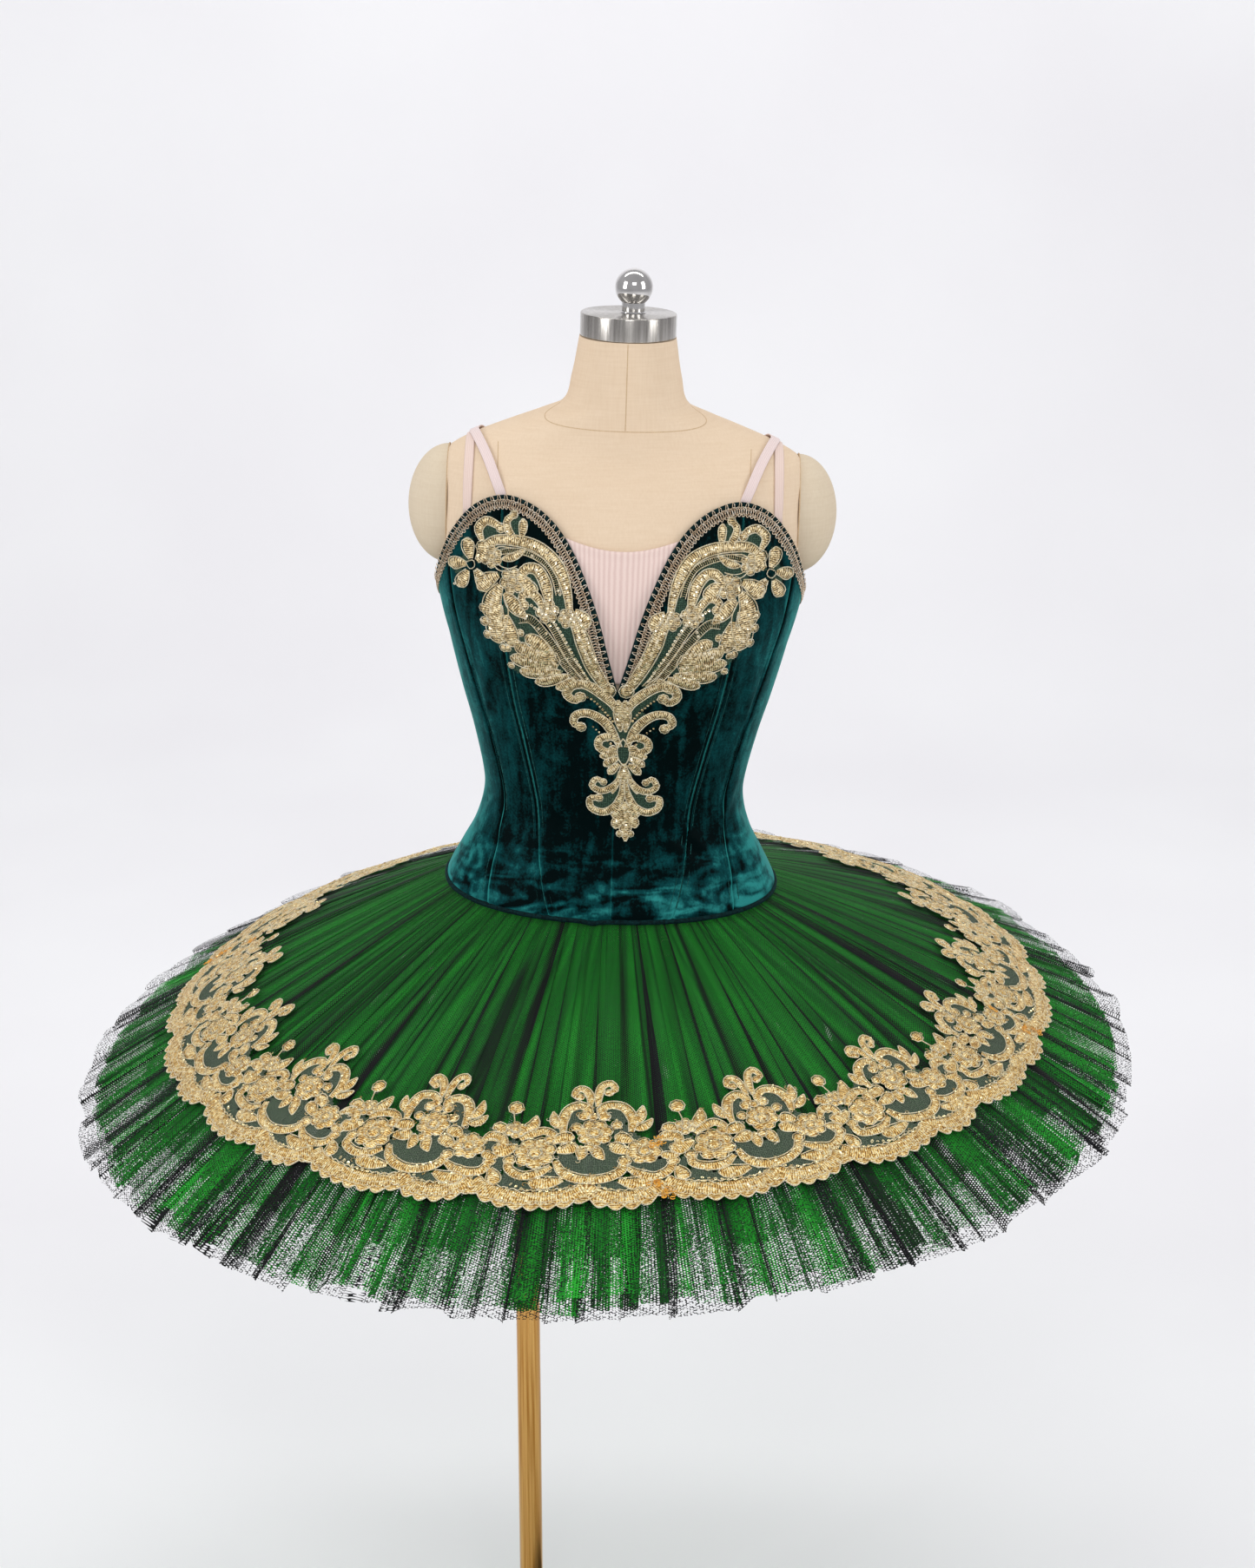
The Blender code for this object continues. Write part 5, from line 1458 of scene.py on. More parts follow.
class Embroidery(Needlework):
    """Stitches, cords and sequins laid on a cloth; cover keeps the discs that they hide."""

    def __init__(self, place, seed):
        super().__init__()
        self.place = place
        self.cover = []
        self.random = np.random.default_rng(seed)

    def lay(self, drawn, lift):
        drawn = np.asarray(drawn, float)
        return self.place(drawn[..., 0], drawn[..., 1], np.broadcast_to(lift, drawn.shape[:-1]))

    def cord(self, drawn, radius=0.48, lift=0.5, finish=CORD, sides=4):
        line = self.lay(drawn, lift)
        normals = unit(self.lay(drawn, 1.0) - self.lay(drawn, 0.0))
        self.tube(line, normals, radius * 0.001, finish, sides)

    def blade(self, drawn, widths, high=1.2, lift=0.3, rim=0.58):
        """A raised, corded shape along a line, as wide on each side as widths say."""
        drawn = np.asarray(drawn, float)
        widths = np.broadcast_to(np.asarray(widths, float), (len(drawn),))
        side = sideways(drawn)
        across = np.array((-0.86, -0.44, 0.44, 0.86))
        reach = 1.06 * widths[:, None] * np.array((-1.0, 1.0))
        edges = drawn[:, None] + side[:, None] * reach[..., None]
        flat = drawn[:, None] + side[:, None] * (widths[:, None] * across[None])[..., None]
        swell = np.minimum(1.0, widths / widths.max())
        rise = lift + high * np.array((0.0, 1.0, 1.0, 0.0))[None] * swell[:, None]
        uv = np.stack(np.broadcast_arrays(widths[:, None] * across[None], distances(drawn)[:, None]), axis=-1)
        self.sheet(self.lay(flat, rise), GOLD, uv * 0.001)
        if rim:
            self.cord(np.concatenate((edges[:, 0], edges[::-1, 1])), rim, lift + 0.45)
        self.cover.append(np.column_stack((drawn, widths)))

    def scroll(self, points, width, step=2.6):
        """A stem that widens along a curve and ends in a rolled bud."""
        line = smooth_path(points, max(8, int(path_length(points) / step)))
        t = np.linspace(0.0, 1.0, len(line))
        widths = width * (0.45 + 0.55 * np.minimum(1.0, t / 0.3)) * (1.0 - 0.35 * t ** 3)
        self.blade(line, widths)
        self.bud(line[-1], 1.15 * width)

    def leaf(self, points, width, step=2.4):
        """A shape pointed at both ends."""
        line = smooth_path(points, max(6, int(path_length(points) / step)))
        t = np.linspace(0.0, 1.0, len(line))
        self.blade(line, np.maximum(0.12 * width, width * np.sin(math.pi * t ** 0.85) ** 0.7))

    def petal(self, points, width, step=2.4):
        """A shape that is narrow at its foot and round at its end."""
        line = smooth_path(points, max(7, int(path_length(points) / step)))
        t = np.linspace(0.0, 1.0, len(line))
        swell = 0.3 + 0.7 * np.sin(0.5 * math.pi * np.minimum(1.0, t / 0.65))
        close = np.sqrt(np.maximum(0.02, 1.0 - np.maximum(0.0, (t - 0.65) / 0.35) ** 2))
        self.blade(line, width * swell * close)

    def bud(self, centre, radius, high=1.5, lift=0.3, rim=0.55):
        """A small round dome, with a corded rim if it has one."""
        steps = 7
        ring = circle(steps)[1]
        centre = np.array(centre)
        flat = np.concatenate((centre + 0.84 * radius * ring, centre + 0.5 * radius * ring, [centre]))
        rise = np.concatenate((np.full(steps, lift), np.full(steps, lift + 0.8 * high), [lift + high]))
        start = self.count
        self.add(self.lay(flat, rise), strip_faces(2, steps, closed=True), GOLD, flat * 0.001)
        for k in range(steps):
            self.faces.append([start + steps + k, start + steps + (k + 1) % steps, start + 2 * steps])
            self.finishes.append(GOLD)
        if rim:
            self.cord(circle_path(centre, radius, 8), rim, lift + 0.45, sides=3)
        self.cover.append(np.array([[centre[0], centre[1], radius]]))

    def rose(self, centre, radius, petals):
        """A round flower of overlapping petals."""
        start = self.random.random() * 6.3
        for k in range(petals):
            turn = start + 2.0 * math.pi * k / petals
            spot = (centre[0] + 0.62 * radius * math.cos(turn), centre[1] + 0.62 * radius * math.sin(turn))
            self.bud(spot, 0.40 * radius, high=1.3)
        self.bud(centre, 0.34 * radius, high=2.1, lift=0.8)
        self.cord(circle_path(centre, 0.50 * radius, 10), 0.35, 1.7, sides=3)
        self.cover.append(np.array([[centre[0], centre[1], 0.75 * radius]]))

    def ladder(self, points, width, pitch=1.7):
        """Two cords with fine rungs between them."""
        line = smooth_path(points, max(8, int(path_length(points) / 2.6)))
        for reach in (-width, width):
            self.cord(line + sideways(line) * reach, 0.42, 0.9)
        rungs = smooth_path(points, max(4, int(path_length(points) / pitch)))
        for spot, reach in zip(rungs[1:-1], sideways(rungs)[1:-1] * width):
            self.cord(np.stack((spot - reach, spot + reach)), 0.34, 0.8, GOLD, sides=3)
        self.cover.append(np.column_stack((line, np.full(len(line), width))))

    def sequins(self, points, pitch=2.7, lift=1.8, radius=1.35):
        """A row of small pierced sequins, each tipped its own way."""
        line = smooth_path(points, max(2, int(path_length(points) / pitch)))
        for spot in line:
            self.sequin(spot, lift, radius)

    def sequin(self, spot, lift, radius):
        steps = 6
        turn = circle(steps)[0] + self.random.random()
        ring = np.stack((np.cos(turn), np.sin(turn)), axis=1)
        tip = self.random.normal(0.0, 0.28, 2)
        flat = np.concatenate((np.array(spot) + radius * ring, np.array(spot) + 0.36 * radius * ring))
        rise = lift + np.concatenate((radius * (ring @ tip), 0.36 * radius * (ring @ tip) - 0.15))
        self.add(self.lay(flat, rise), strip_faces(2, steps, closed=True), SEQUIN, flat * 0.001)

    def beads(self, points, radius):
        """A chain of small domes that shrink along it."""
        line = smooth_path(points, max(3, int(path_length(points) / (1.9 * radius))))
        for spot, size in zip(line, np.linspace(1.0, 0.65, len(line))):
            self.bud(spot, radius * size, high=1.1, rim=0)

    def curls(self, spots, size=1.8, lift=1.1):
        """Loose little loops of thread that fill the ground."""
        for spot in spots:
            start = self.random.random() * 6.3
            loop = circle_path(spot, size * (0.7 + 0.5 * self.random.random()), 5, start, 4.4)
            high = lift + 0.5 * self.random.random()
            self.cord(loop, 0.36, high, CORD if self.random.random() < 0.45 else GOLD, sides=3)

    def covered(self, spots, past):
        """Those of the spots that lie on stitches, or past them by no more than a distance."""
        cover = np.concatenate(self.cover)
        away = np.hypot(cover[None, :, 0] - spots[:, 0, None], cover[None, :, 1] - spots[:, 1, None])
        return spots[(away < cover[None, :, 2] + past).any(axis=1)]

    def scatter(self, low, high, count, lift=2.0, radius=1.2):
        """Sequins spread over a box, kept where stitches are."""
        spots = low + (np.array(high) - low) * self.random.random((count, 2))
        for spot in self.covered(spots, -1.0):
            self.sequin(spot, lift, radius)

    def draw(self, strokes, mirror=1.0, jitter=0.0):
        """Draws a table of strokes, mirrored and slightly moved if asked."""
        for stroke in strokes:
            points = np.array(stroke.points, float)
            points = points * (mirror, 1.0) + self.random.normal(0.0, 1.0, points.shape) * jitter
            if stroke.kind == "bud":
                self.bud(points[0], stroke.width)
            elif stroke.kind == "rose":
                self.rose(points[0], stroke.width, 7 if stroke.width > 12 else 6)
            elif stroke.kind == "cord":
                self.cord(smooth_path(points, max(8, int(path_length(points) / 2.0))), stroke.width, 1.2)
            elif stroke.kind == "sequins":
                self.sequins(points, stroke.width)
            else:
                getattr(self, stroke.kind)(points, stroke.width)


def grown(mask):
    """The cells of a mask and those beside them."""
    spread = mask.copy()
    spread[1:] |= mask[:-1]
    spread[:-1] |= mask[1:]
    spread[:, 1:] |= mask[:, :-1]
    spread[:, :-1] |= mask[:, 1:]
    return spread


def ground_mask(cover, left, right, low, high, cell, gap, wrap=0.0):
    """Grid lines and the cells that a net ground fills: under the stitches and in the holes between them."""
    xs = np.arange(left, right + cell / 2, cell)
    ys = np.arange(low, high + cell / 2, cell)
    centre_x = 0.5 * (xs[1:] + xs[:-1])[None]
    centre_y = 0.5 * (ys[1:] + ys[:-1])[:, None]
    under = np.zeros((len(ys) - 1, len(xs) - 1), bool)
    wall = under.copy()
    for shift in ((-wrap, 0.0, wrap) if wrap else (0.0,)):
        for x, y, radius in cover:
            away = np.hypot(centre_x - x - shift, centre_y - y)
            under |= away < radius - 0.5
            wall |= away < radius + gap
    free = np.pad(~wall, 1, constant_values=True)
    if wrap:
        free[:, 0] = free[:, -1] = False
        free[0] = free[-1] = True
    outside = np.zeros_like(free)
    outside[0] = outside[-1] = True
    if not wrap:
        outside[:, 0] = outside[:, -1] = True
    while True:
        spread = grown(outside)
        if wrap:
            spread[:, 1] |= outside[:, -2]
            spread[:, -2] |= outside[:, 1]
        spread &= free
        if (spread == outside).all():
            break
        outside = spread
    holes = ~outside[1:-1, 1:-1] & ~wall
    for _ in range(max(1, int(math.ceil((gap + 1.0) / cell)))):
        holes = grown(holes)
    return xs, ys, under | holes


# Trim of the bodice


def below_edge(angles, depth):
    """Angles and heights at a depth below the neckline, square to it, for angles from 0 to 180."""
    step = 0.5
    heights = neckline_height(angles)
    here = velvet_points(angles, heights)
    ahead = velvet_points(angles + step, neckline_height(angles + step))
    behind = velvet_points(angles - step, neckline_height(angles - step))
    rise = unit(ahead - behind)[..., 2]
    per_degree = np.linalg.norm(velvet_points(angles + step, heights) - here, axis=-1) / step
    fall = np.sqrt(np.maximum(0.0025, 1.0 - rise ** 2))
    return angles + rise / per_degree * depth, heights - fall * depth


def neckline_placer(side):
    """A placing function along the neckline of one half, and the millimetres from its point to the back."""
    angles = np.concatenate((np.linspace(0.9, 14.0, 260), np.linspace(14.2, 179.5, 500)))
    points = velvet_points(side * angles, neckline_height(angles))
    steps = distances(points) * 1000.0

    def place(along, below, lift):
        spot, height = below_edge(np.interp(along, steps, angles), below * 0.001)
        return velvet_points(side * np.clip(spot, 0.3, 179.7), height, VELVET + 0.0006 + lift * 0.001)

    return place, steps[-1]


def add_braid(side, name, finishes):
    """Openwork braid under the binding: waved edges, crossed threads and picots over the binding."""
    place, total = neckline_placer(side)
    work = Embroidery(place, 70 + side)
    along = np.arange(1.5, total - 1.5, 0.75)
    phase = 2.0 * math.pi * along / (BRAID_PITCH * 1000.0)
    high = BINDING_WIDTH * 1000.0 + 0.9
    low = high + BRAID_WIDTH * 1000.0 - 3.0
    middle = 0.5 * (high + low)
    work.cord(np.stack((along, high + 0.3 * np.sin(phase)), axis=1), 0.46, 0.3, sides=3)
    work.cord(np.stack((along, low + 0.9 * np.cos(phase)), axis=1), 0.46, 0.3, sides=3)
    for turn in (0.0, math.pi):
        cross = np.stack((along, middle + 0.46 * (low - high) * np.sin(phase + turn)), axis=1)
        work.cord(cross, 0.40, 0.45 + 0.35 * np.cos(phase + turn), CORD if turn else GOLD, sides=3)
    for spot in np.arange(3.0, total - 3.0, PICOT_PITCH * 1000.0):
        shift = work.random.normal(0.0, 0.3)
        tall = 0.6 + 0.7 * work.random.random()
        loop = np.array(((-1.3, high), (-1.0, 1.2), (0.0 + shift, -tall), (1.0, 1.2), (1.3, high)))
        loop[:, 0] += spot
        lift = np.interp(np.arange(8), (0, 2, 4, 5, 7), (0.3, 1.2, 0.9, 1.2, 0.3))
        work.cord(smooth_path(loop, 8), 0.38, lift, sides=3)
    braid = work.build("braid_threads_" + name, finishes)
    return finish_piece(braid, ["braid_" + name])


def edge_angle_at(heights):
    """Angles of the front neckline at heights below the top of the cups."""
    angles = np.linspace(0.0, 36.0, 721)
    return np.interp(heights, neckline_height(angles), angles)


def add_inset():
    """Power mesh stretched over the form, drawn into fine upright wrinkles below a plain top band."""
    rows, columns = 46, 48
    across = np.linspace(-1.0, 1.0, columns + 1)[None]
    share = np.linspace(0.0, 1.0, rows)[:, None]
    lowest = NECKLINE[0].height + 0.012
    height = lowest + (INSET_TOP + INSET_RISE * across ** 2 - lowest) * share
    width = edge_angle_at(height) - 0.35
    angle = across * width
    metres = np.radians(angle) * 0.10
    wrinkles = np.sin(2.0 * math.pi * (metres / 0.0068 + 0.4 * np.sin(9.0 * share + 5.0 * across)))
    wrinkles = wrinkles * np.clip((INSET_TOP - 0.009 - height + INSET_RISE * across ** 2) / 0.010, 0.0, 1.0)
    hem = np.exp(-((INSET_TOP + INSET_RISE * across ** 2 - height - 0.008) / 0.0012) ** 2)
    grid = body_points(angle, height, EASE + 0.0002 + 0.00006 * wrinkles - 0.0004 * hem)
    mesh = ribbed_mesh("pale_pink_power_mesh", "ead3ca", "dcc1b9", 0.0024, 0.5)
    uv = np.stack((height, np.broadcast_to(metres, grid.shape[:2])), axis=-1)
    piece = sheet_piece("inset_mesh", grid, mesh, INSET_THICK, uv=uv)
    finish_piece(piece, ["neckline_inset"])


def ridge_height(x):
    """Height of the shoulder line at an x from the middle."""
    heights = np.linspace(BODY_RINGS[18].height, NECK_TOP, 600)
    half_widths = table_curve(BODY_RINGS, "height", "half_width", heights)
    return np.interp(-x, -half_widths, heights)


def strap_points(strap, side, shares):
    """Middle line of a strap from its front end at -1 to its back end at 1, and the normals there."""
    heights = []
    half = bpy.context.scene.tutu_sizes.strap_width / 2
    for end_x, edge_height, back in ((strap.front_x, 1.30, False), (strap.back_x, 1.215, True)):
        edges = front_angle(np.array((end_x - half, end_x + half)), edge_height)
        lowest, highest = sorted(neckline_height(180.0 - edges if back else edges))
        heights.append(max(lowest - STRAP_TUCK, highest - STRAP_REACH))
    ahead = shares < 0
    end_x = np.where(ahead, strap.front_x, strap.back_x)
    bend = np.abs(np.cos(0.5 * math.pi * shares)) ** 0.8
    drawn = np.where(shares < 0, 0.4 * np.abs(shares) + 0.6 * (1.0 - bend), np.abs(shares) ** 1.5)
    x = strap.top_x + (end_x - strap.top_x) * drawn
    foot = np.where(ahead, *heights)
    height = foot + (ridge_height(x) - foot) * bend
    half_width = table_curve(BODY_RINGS, "height", "half_width", height)
    angle = front_angle(np.minimum(x, half_width * 0.9995), height)
    angle = side * np.where(shares <= 0, angle, 180.0 - angle)
    settled = np.clip((1.0 - np.abs(shares)) / 0.12, 0.0, 1.0)
    lift = STRAP_LIE + (strap.lift - STRAP_LIE) * settled
    points = body_points(angle, height, lift)
    return points, unit(body_points(angle, height, lift + 0.001) - points)


def add_strap(strap, side, name, elastic):
    steps = 64
    sizes = bpy.context.scene.tutu_sizes
    centre, normals = strap_points(strap, side, np.linspace(-1.0, 1.0, steps))
    along = unit(np.gradient(centre, axis=0))
    across = unit(np.cross(along, normals))
    places = np.array((-1.0, -0.75, 0.0, 0.75, 1.0))
    rise = np.array((0.0001, 0.0, 0.00015, 0.0, 0.0001))
    grid = (centre[:, None] + across[:, None] * places[None, :, None] * sizes.strap_width / 2
            + normals[:, None] * rise[None, :, None])
    uv = np.stack(np.broadcast_arrays(distances(centre)[:, None], places[None] * sizes.strap_width / 2),
                  axis=-1)
    piece = sheet_piece("strap_tape_" + strap.name + "_" + name, grid[:, ::-1], elastic,
                        sizes.strap_thickness, uv=uv[:, ::-1])
    finish_piece(piece, ["strap_" + strap.name + "_" + name])


def add_trim():
    add_inset()
    outer = ribbed_mesh("warm_pink_elastic", *dyed("elastic", "ecd6cb", "e2c8bb"), 0.0016, 0.4)
    inner = ribbed_mesh("cool_pink_elastic", *dyed("elastic", "ecdad6", "e2ccc7"), 0.0016, 0.4)
    # Colours of each thread: painted shade, the thread itself, painted highlight.
    threads = [
        metal_thread("rose_gold_thread", *dyed("champagne_thread", "a98a68", "eccdab", "fff0da"), 0.45),
        metal_thread("pale_gold_thread", *dyed("champagne_thread", "c8a882", "fbe6c8", "fffaf0"), 0.40),
    ]
    for side, name in SIDES:
        for strap, elastic in zip(STRAPS, (outer, inner)):
            add_strap(strap, side, name, elastic)
        add_braid(side, name, threads)


# Motifs of the bodice


def bodice_placer(tilted):
    """A placing function over the front of the velvet: x and height over one metre."""

    def place(x, y, lift):
        height = 1.0 + y * 0.001
        shift = np.interp(height, *zip(*CENTRE_TILT)) if tilted else 0.0
        return velvet_points(front_angle(x * 0.001 + shift, height), height, VELVET + 0.0009 + lift * 0.001)

    return place


def finish_motif(work, name, nodes, materials, net, cell):
    """Builds the stitches of a motif and the net they are worked on."""
    cover = np.concatenate(work.cover)
    reach = cover[:, 2].max()
    xs, ys, keep = ground_mask(cover, cover[:, 0].min() - reach, cover[:, 0].max() + reach,
                               cover[:, 1].min() - reach, cover[:, 1].max() + reach, cell, 1.3)
    drawn = np.stack(np.meshgrid(xs, ys), axis=-1)
    ground = sheet_piece("lace_net_" + name, work.lay(drawn, 0.1), net, uv=drawn * 0.001, keep=keep)
    finish_piece(ground, nodes)
    stitches = work.build("lace_stitches_" + name, materials)
    finish_piece(stitches, [])


def add_motifs():
    # Colours of each thread: painted shade, the thread itself, painted highlight.
    threads = [
        metal_thread("champagne_thread", *dyed("champagne_thread", "4c3d25", "d2b47a", "fff2cc"), 0.42),
        metal_thread("champagne_cord", *dyed("champagne_thread", "e0ca9c", "faeecb", "fffaea"), 0.30),
        sequin_film("champagne_sequins", "fff4d6"),
    ]
    net = lace_net("olive_lace_net", "22372b", "46604f")
    for side, name in SIDES:
        work = Embroidery(bodice_placer(False), 50 + side)
        work.draw(CUP_STROKES, mirror=side, jitter=0.35)
        work.scatter((-150 if side < 0 else 10, 165), (-10 if side < 0 else 150, 310), 210)
        finish_motif(work, name, ["lace_motif_" + name], threads, net, 2.0)
    work = Embroidery(bodice_placer(True), 53)
    for mirror in (-1, 1):
        work.draw(CENTRE_STROKES, mirror=mirror, jitter=0.25)
    work.draw(CENTRE_MIDDLE_STROKES)
    work.scatter((-30, 20), (30, 150), 60)
    finish_motif(work, "centre", ["lace_motif_centre"], threads, net, 1.6)


# Lace band on the skirt


def lace_placer(first_crown):
    """A placing function over the overlay: millimetres along from a crown, and in from the outer edge."""

    def place(along, inward, lift):
        angle = first_crown + along / LACE_WIDTH * 360.0 / LACE_REPEATS
        share = LACE_OUTER - inward / LACE_DEPTH * (LACE_OUTER - LACE_INNER)
        points = skirt_points(angle, share)
        folds = (0.0010 + 0.0052 * share) * 1.1
        swell = 0.0010 * share * (1.0 + np.sin(np.radians(24.0 * angle) + 4.0 * share))
        settled = 0.0008 * (1.0 - np.cos(np.radians(angle)))
        points[..., 2] += folds + swell + 0.0010 - settled + lift * 0.001
        return points

    return place


def lace_edge(along):
    return table_curve(LACE_EDGE, "along", "inward", along)


def draw_lace_repeat(work, shift):
    """One repeat of the band, its crown at a shift along it."""
    moved = [Stroke(stroke.kind, stroke.width, [(x + shift, y) for x, y in stroke.points])
             for stroke in LACE_STROKES]
    work.draw(moved, jitter=0.5)
    along = np.arange(LACE_EDGE[0].along, LACE_EDGE[-1].along + 1.0, 2.0)
    edge = lace_edge(along)
    work.blade(np.stack((along + shift, edge + 11.0), axis=1), 7.6, high=0.8, rim=0)
    work.cord(np.stack((along + shift, edge + 18.6 + 0.9 * np.sin(along)), axis=1), 0.6, 0.8)
    fine = np.arange(LACE_EDGE[0].along, LACE_EDGE[-1].along + 0.5, LACE_WIDTH / 96)
    tips = lace_edge(fine) - 1.5 + 4.6 * (1.0 - np.abs(np.sin(math.pi * fine / (LACE_WIDTH / 12))))
    hem = np.stack([np.stack((fine + shift, line), axis=1) for line in (lace_edge(fine) + 4.5, tips)])
    work.sheet(work.lay(hem, 0.4), GOLD, hem * 0.001)
    work.cord(hem[1], 0.8, 0.5)
    for spot in np.arange(LACE_EDGE[0].along, LACE_EDGE[-1].along, LACE_WIDTH / 24):
        tip = float(lace_edge(np.array([spot]))[0])
        arc = circle_path((spot + shift, tip + 6.5), 3.2, 6, math.pi * 1.15, math.pi * 0.7)
        work.cord(arc, 0.45, 1.4, sides=3)
    spots = work.random.random((170, 2)) * (136.0, 104.0) + (-86.0 + shift, 4.0)
    work.curls(work.covered(spots, 1.5))


def add_lace_band():
    # Colours of each thread: painted shade, the thread itself, painted highlight.
    threads = [
        metal_thread("gold_thread", *dyed("gold_thread", "8a5c20", "eec264", "fff8cc"), 0.45),
        metal_thread("gold_cord", *dyed("gold_thread", "e8cc90", "fbedc4", "fffae4"), 0.30),
        sequin_film("gold_sequins", "fff0bc"),
        stray_thread("loose_orange_thread", "f6b62c"),
    ]
    net = lace_net("grey_green_lace_net", "3a443a", "65735f")
    repeat_angle = 360.0 / LACE_REPEATS
    first = LACE_FIRST_ANGLE + (LACE_CROWN - 1.0) * repeat_angle
    done = 0
    for index, repeats in enumerate(LACE_LENGTHS, start=1):
        work = Embroidery(lace_placer(first + (done + 1) * repeat_angle), 80 + index)
        draw_lace_repeat(work, 0.0)
        cover = np.concatenate(work.cover)
        low, high = LACE_EDGE[0].along, LACE_EDGE[-1].along
        xs, ys, keep = ground_mask(cover, low, high, -4.0, 152.0, 3.0, 1.6, wrap=LACE_WIDTH)
        for k in range(1, repeats):
            draw_lace_repeat(work, k * LACE_WIDTH)
        wide = [xs[:-1] + k * LACE_WIDTH for k in range(repeats)] + [xs[-1:] + (repeats - 1) * LACE_WIDTH]
        drawn = np.stack(np.meshgrid(np.concatenate(wide), ys), axis=-1)
        work.scatter((low, 4.0), (low + repeats * LACE_WIDTH, 130.0), LACE_SEQUINS * repeats)
        for spot in ((50.0, 66.0), (47.0, 24.0), (53.0, 10.0)):
            for _ in range(9):
                place = np.array(spot) + work.random.normal(0.0, 2.6, 2) + ((repeats - 1) * LACE_WIDTH, 0.0)
                loop = circle_path(place, 1.8, 5, work.random.random() * 6.3, 4.6)
                work.cord(loop, 0.5, 2.0, STRAY, sides=3)
        name = str(index)
        ground = sheet_piece("lace_net_" + name, work.lay(drawn, 0.1), net, uv=drawn * 0.001,
                             keep=np.tile(keep, (1, repeats)))
        finish_piece(ground, ["lace_band_" + name])
        stitches = work.build("lace_stitches_" + name, threads)
        finish_piece(stitches, [])
        done += repeats


# Knickers


def add_knickers():
    jersey = knit("plain_jersey", "1a6a26", "0f4719")
    heights = np.concatenate((np.linspace(0.800, 0.882, 22), np.linspace(0.885, 0.912, 8)))
    widths = table_curve(KNICKERS_ROWS, "height", "angle", heights)
    columns = np.linspace(-1.0, 1.0, 49)
    for front, name in ((True, "front"), (False, "back")):
        middle = 0.0 if front else 180.0
        grid = body_points(middle + widths[:, None] * columns[None], heights[:, None], KNICKERS_EASE)
        edge = grid[0]
        across = columns * (GUSSET_HALF if front else -GUSSET_HALF)
        foot = lean(np.stack((BODY_X + across, np.zeros_like(across),
                              np.full_like(across, BODY_RINGS[0].height - KNICKERS_EASE)), axis=1))
        middle_y = np.full_like(across, -SEAM_GAP if front else SEAM_GAP)
        target = np.stack((BODY_X + across, middle_y, foot[:, 2]), axis=1)
        gusset = []
        for inset in (1.0, 0.75, 0.5, 0.3, 0.1):
            row = edge + (target - edge) * inset
            row[:, 2] = foot[:, 2]
            gusset.append(row)
        piece = sheet_piece("knickers_shell_" + name, np.concatenate((np.array(gusset), grid)), jersey,
                            KNICKERS_THICK)
        finish_piece(piece, ["knickers_" + name])


# Settings, operators, panel and registration


def size_property(name, default, description):
    return bpy.props.FloatProperty(name=name, default=default, description=description, min=0.0, precision=4,
                                   unit="LENGTH")


def colour_property(name, key, description):
    return bpy.props.FloatVectorProperty(name=name, default=linear(USUAL_COLOURS[key]), size=4, min=0.0,
                                         max=1.0, description=description, subtype="COLOR")


class TutuSizes(bpy.types.PropertyGroup):
    """Sizes of the trim and of the picture"""
    strap_width: size_property("Strap width", STRAP_WIDTH, "Width of the shoulder elastic")
    strap_thickness: size_property("Strap thickness", STRAP_THICK, "Thickness of the shoulder elastic")
    piping_radius: size_property("Piping radius", PIPING_RADIUS, "Radius of the rolled edge of the basque")
    net_cell: size_property("Net cell", NET_CELL, "Width of a hole in the nets of the skirt")
    lens: bpy.props.FloatProperty(name="Lens", default=LENS, min=1.0, unit="CAMERA",
                                  description="Focal length of the camera")


class TutuColours(bpy.types.PropertyGroup):
    """Colours of the cloths, threads and metals"""
    velvet: colour_property("Velvet", "velvet", "Lit pile of the bodice")
    linen: colour_property("Linen", "linen", "Cloth of the form")
    black_net: colour_property("Black net", "black_net", "Overlay of the skirt")
    green_net: colour_property("Green net", "green_net", "Lower nets of the skirt")
    elastic: colour_property("Elastic", "elastic", "Shoulder straps")
    champagne_thread: colour_property("Champagne thread", "champagne_thread",
                                      "Motifs and braid of the bodice")
    gold_thread: colour_property("Gold thread", "gold_thread", "Lace band of the skirt")
    brass: colour_property("Brass", "brass", "Pole of the stand")
    steel: colour_property("Steel", "steel", "Neck cap and ball of the form")


class TutuStage(bpy.types.Operator):
    """Adds the camera, the pale backdrop and the studio lights"""
    bl_idname = "tutu.add_stage"
    bl_label = "Stage"

    def execute(self, context):
        add_stage()
        return {"FINISHED"}


class TutuForm(bpy.types.Operator):
    """Adds the linen form with its arm caps, neck cap and finial"""
    bl_idname = "tutu.add_form"
    bl_label = "Dress form"

    def execute(self, context):
        add_torso()
        add_arm_caps()
        add_neck_metal()
        return {"FINISHED"}


class TutuStand(bpy.types.Operator):
    """Adds the brass pole and the round base"""
    bl_idname = "tutu.add_stand"
    bl_label = "Stand"

    def execute(self, context):
        add_stand()
        return {"FINISHED"}


class TutuBodice(bpy.types.Operator):
    """Adds the velvet panels and their edges"""
    bl_idname = "tutu.add_bodice"
    bl_label = "Bodice"

    def execute(self, context):
        add_bodice()
        return {"FINISHED"}


class TutuSkirt(bpy.types.Operator):
    """Adds the pleated nets of the skirt"""
    bl_idname = "tutu.add_skirt"
    bl_label = "Skirt"

    def execute(self, context):
        add_nets()
        return {"FINISHED"}


class TutuTrim(bpy.types.Operator):
    """Adds the mesh inset, the elastic straps and the braid along the neckline"""
    bl_idname = "tutu.add_trim"
    bl_label = "Bodice trim"

    def execute(self, context):
        add_trim()
        return {"FINISHED"}


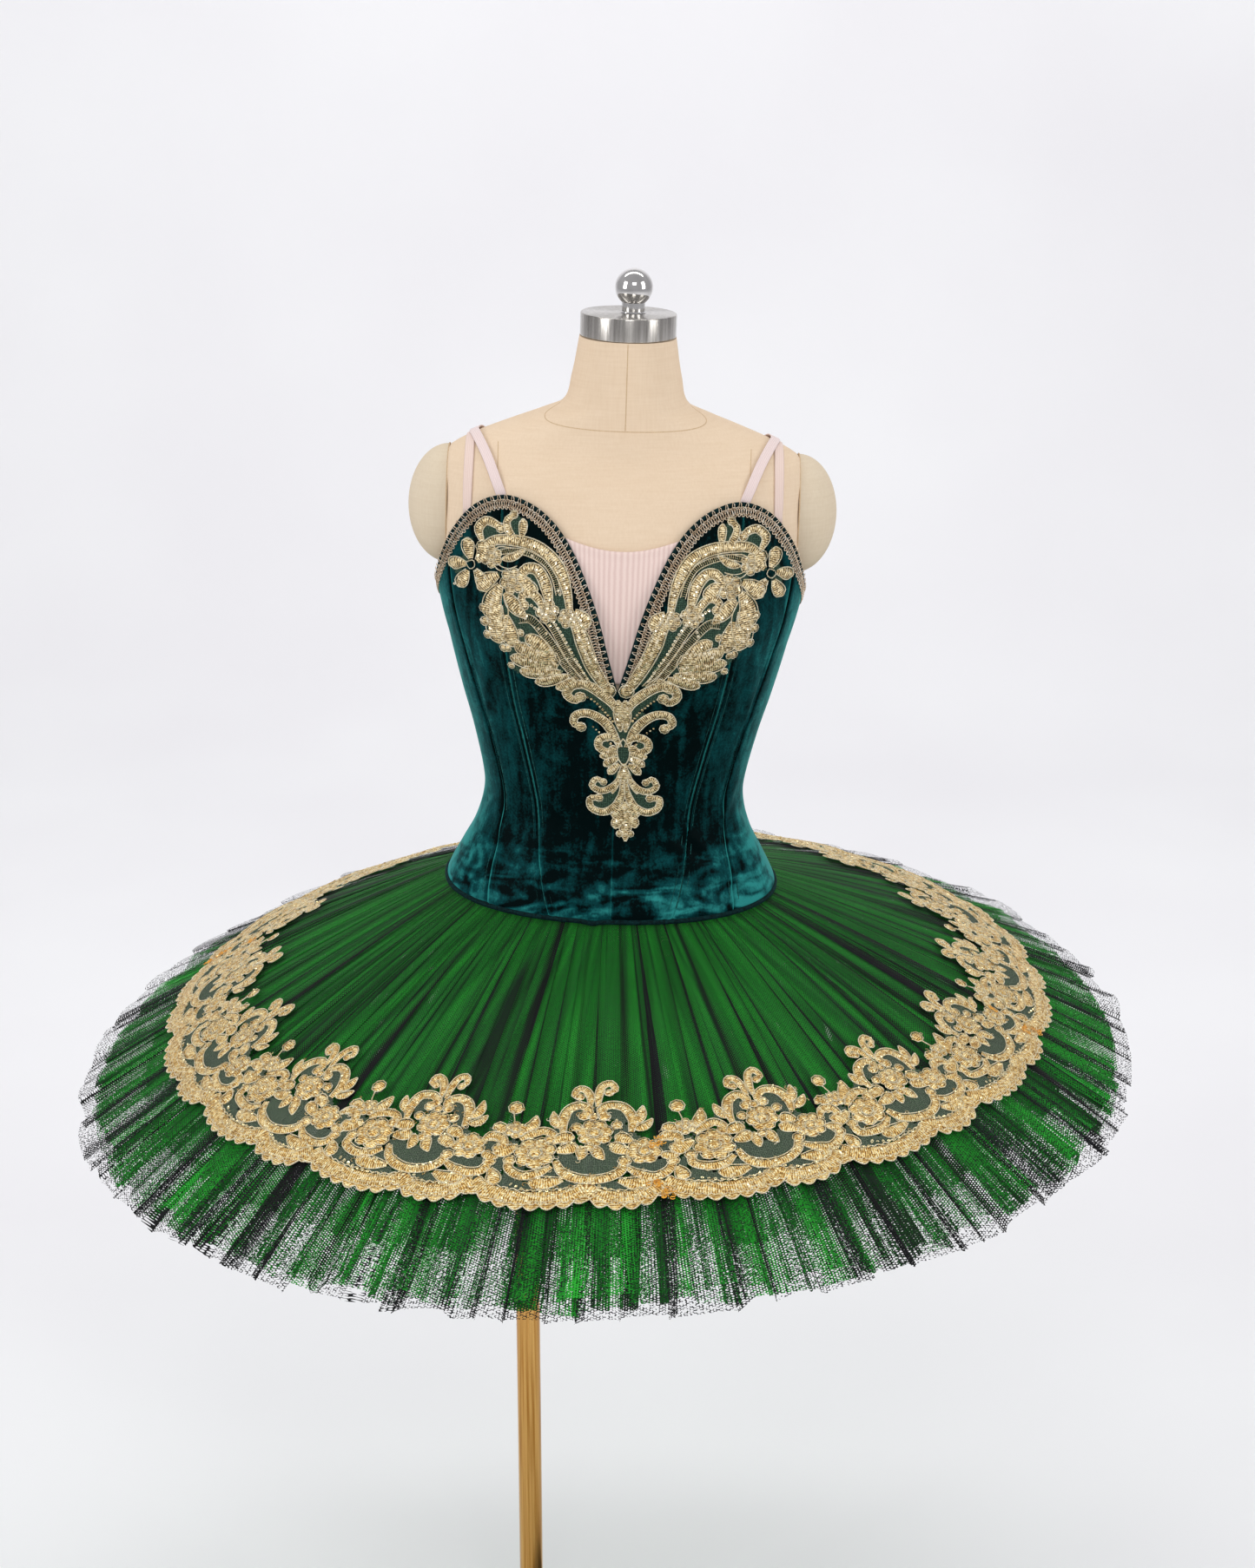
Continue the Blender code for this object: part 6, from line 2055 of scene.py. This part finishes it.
class TutuMotifs(bpy.types.Operator):
    """Adds the corded lace motifs of the bodice"""
    bl_idname = "tutu.add_motifs"
    bl_label = "Bodice motifs"

    def execute(self, context):
        add_motifs()
        return {"FINISHED"}


class TutuLace(bpy.types.Operator):
    """Adds the four lengths of gold lace on the skirt"""
    bl_idname = "tutu.add_lace"
    bl_label = "Lace band"

    def execute(self, context):
        add_lace_band()
        return {"FINISHED"}


class TutuKnickers(bpy.types.Operator):
    """Adds the front and back of the knickers"""
    bl_idname = "tutu.add_knickers"
    bl_label = "Knickers"

    def execute(self, context):
        add_knickers()
        return {"FINISHED"}


class TutuPanel(bpy.types.Panel):
    """Lists the pieces of the tutu"""
    bl_idname = "VIEW3D_PT_tutu"
    bl_label = "Tutu"
    bl_space_type = "VIEW_3D"
    bl_region_type = "UI"
    bl_category = "Tutu"

    def draw(self, context):
        for operator in OPERATORS:
            self.layout.operator(operator.bl_idname)
        for settings in (context.scene.tutu_sizes, context.scene.tutu_colours):
            for key in settings.__annotations__:
                self.layout.prop(settings, key)


OPERATORS = (TutuStage, TutuForm, TutuStand, TutuBodice, TutuTrim, TutuMotifs, TutuSkirt, TutuLace,
             TutuKnickers)
CLASSES = (TutuSizes, TutuColours, *OPERATORS, TutuPanel)


def register():
    for item in CLASSES:
        bpy.utils.register_class(item)
    bpy.types.Scene.tutu_sizes = bpy.props.PointerProperty(type=TutuSizes)
    bpy.types.Scene.tutu_colours = bpy.props.PointerProperty(type=TutuColours)


def unregister():
    del bpy.types.Scene.tutu_colours
    del bpy.types.Scene.tutu_sizes
    for item in reversed(CLASSES):
        bpy.utils.unregister_class(item)


def main():
    register()
    bpy.ops.tutu.add_stage()
    bpy.ops.tutu.add_form()
    bpy.ops.tutu.add_stand()
    bpy.ops.tutu.add_bodice()
    bpy.ops.tutu.add_trim()
    bpy.ops.tutu.add_motifs()
    bpy.ops.tutu.add_skirt()
    bpy.ops.tutu.add_lace()
    bpy.ops.tutu.add_knickers()


if __name__ == "__main__":
    main()
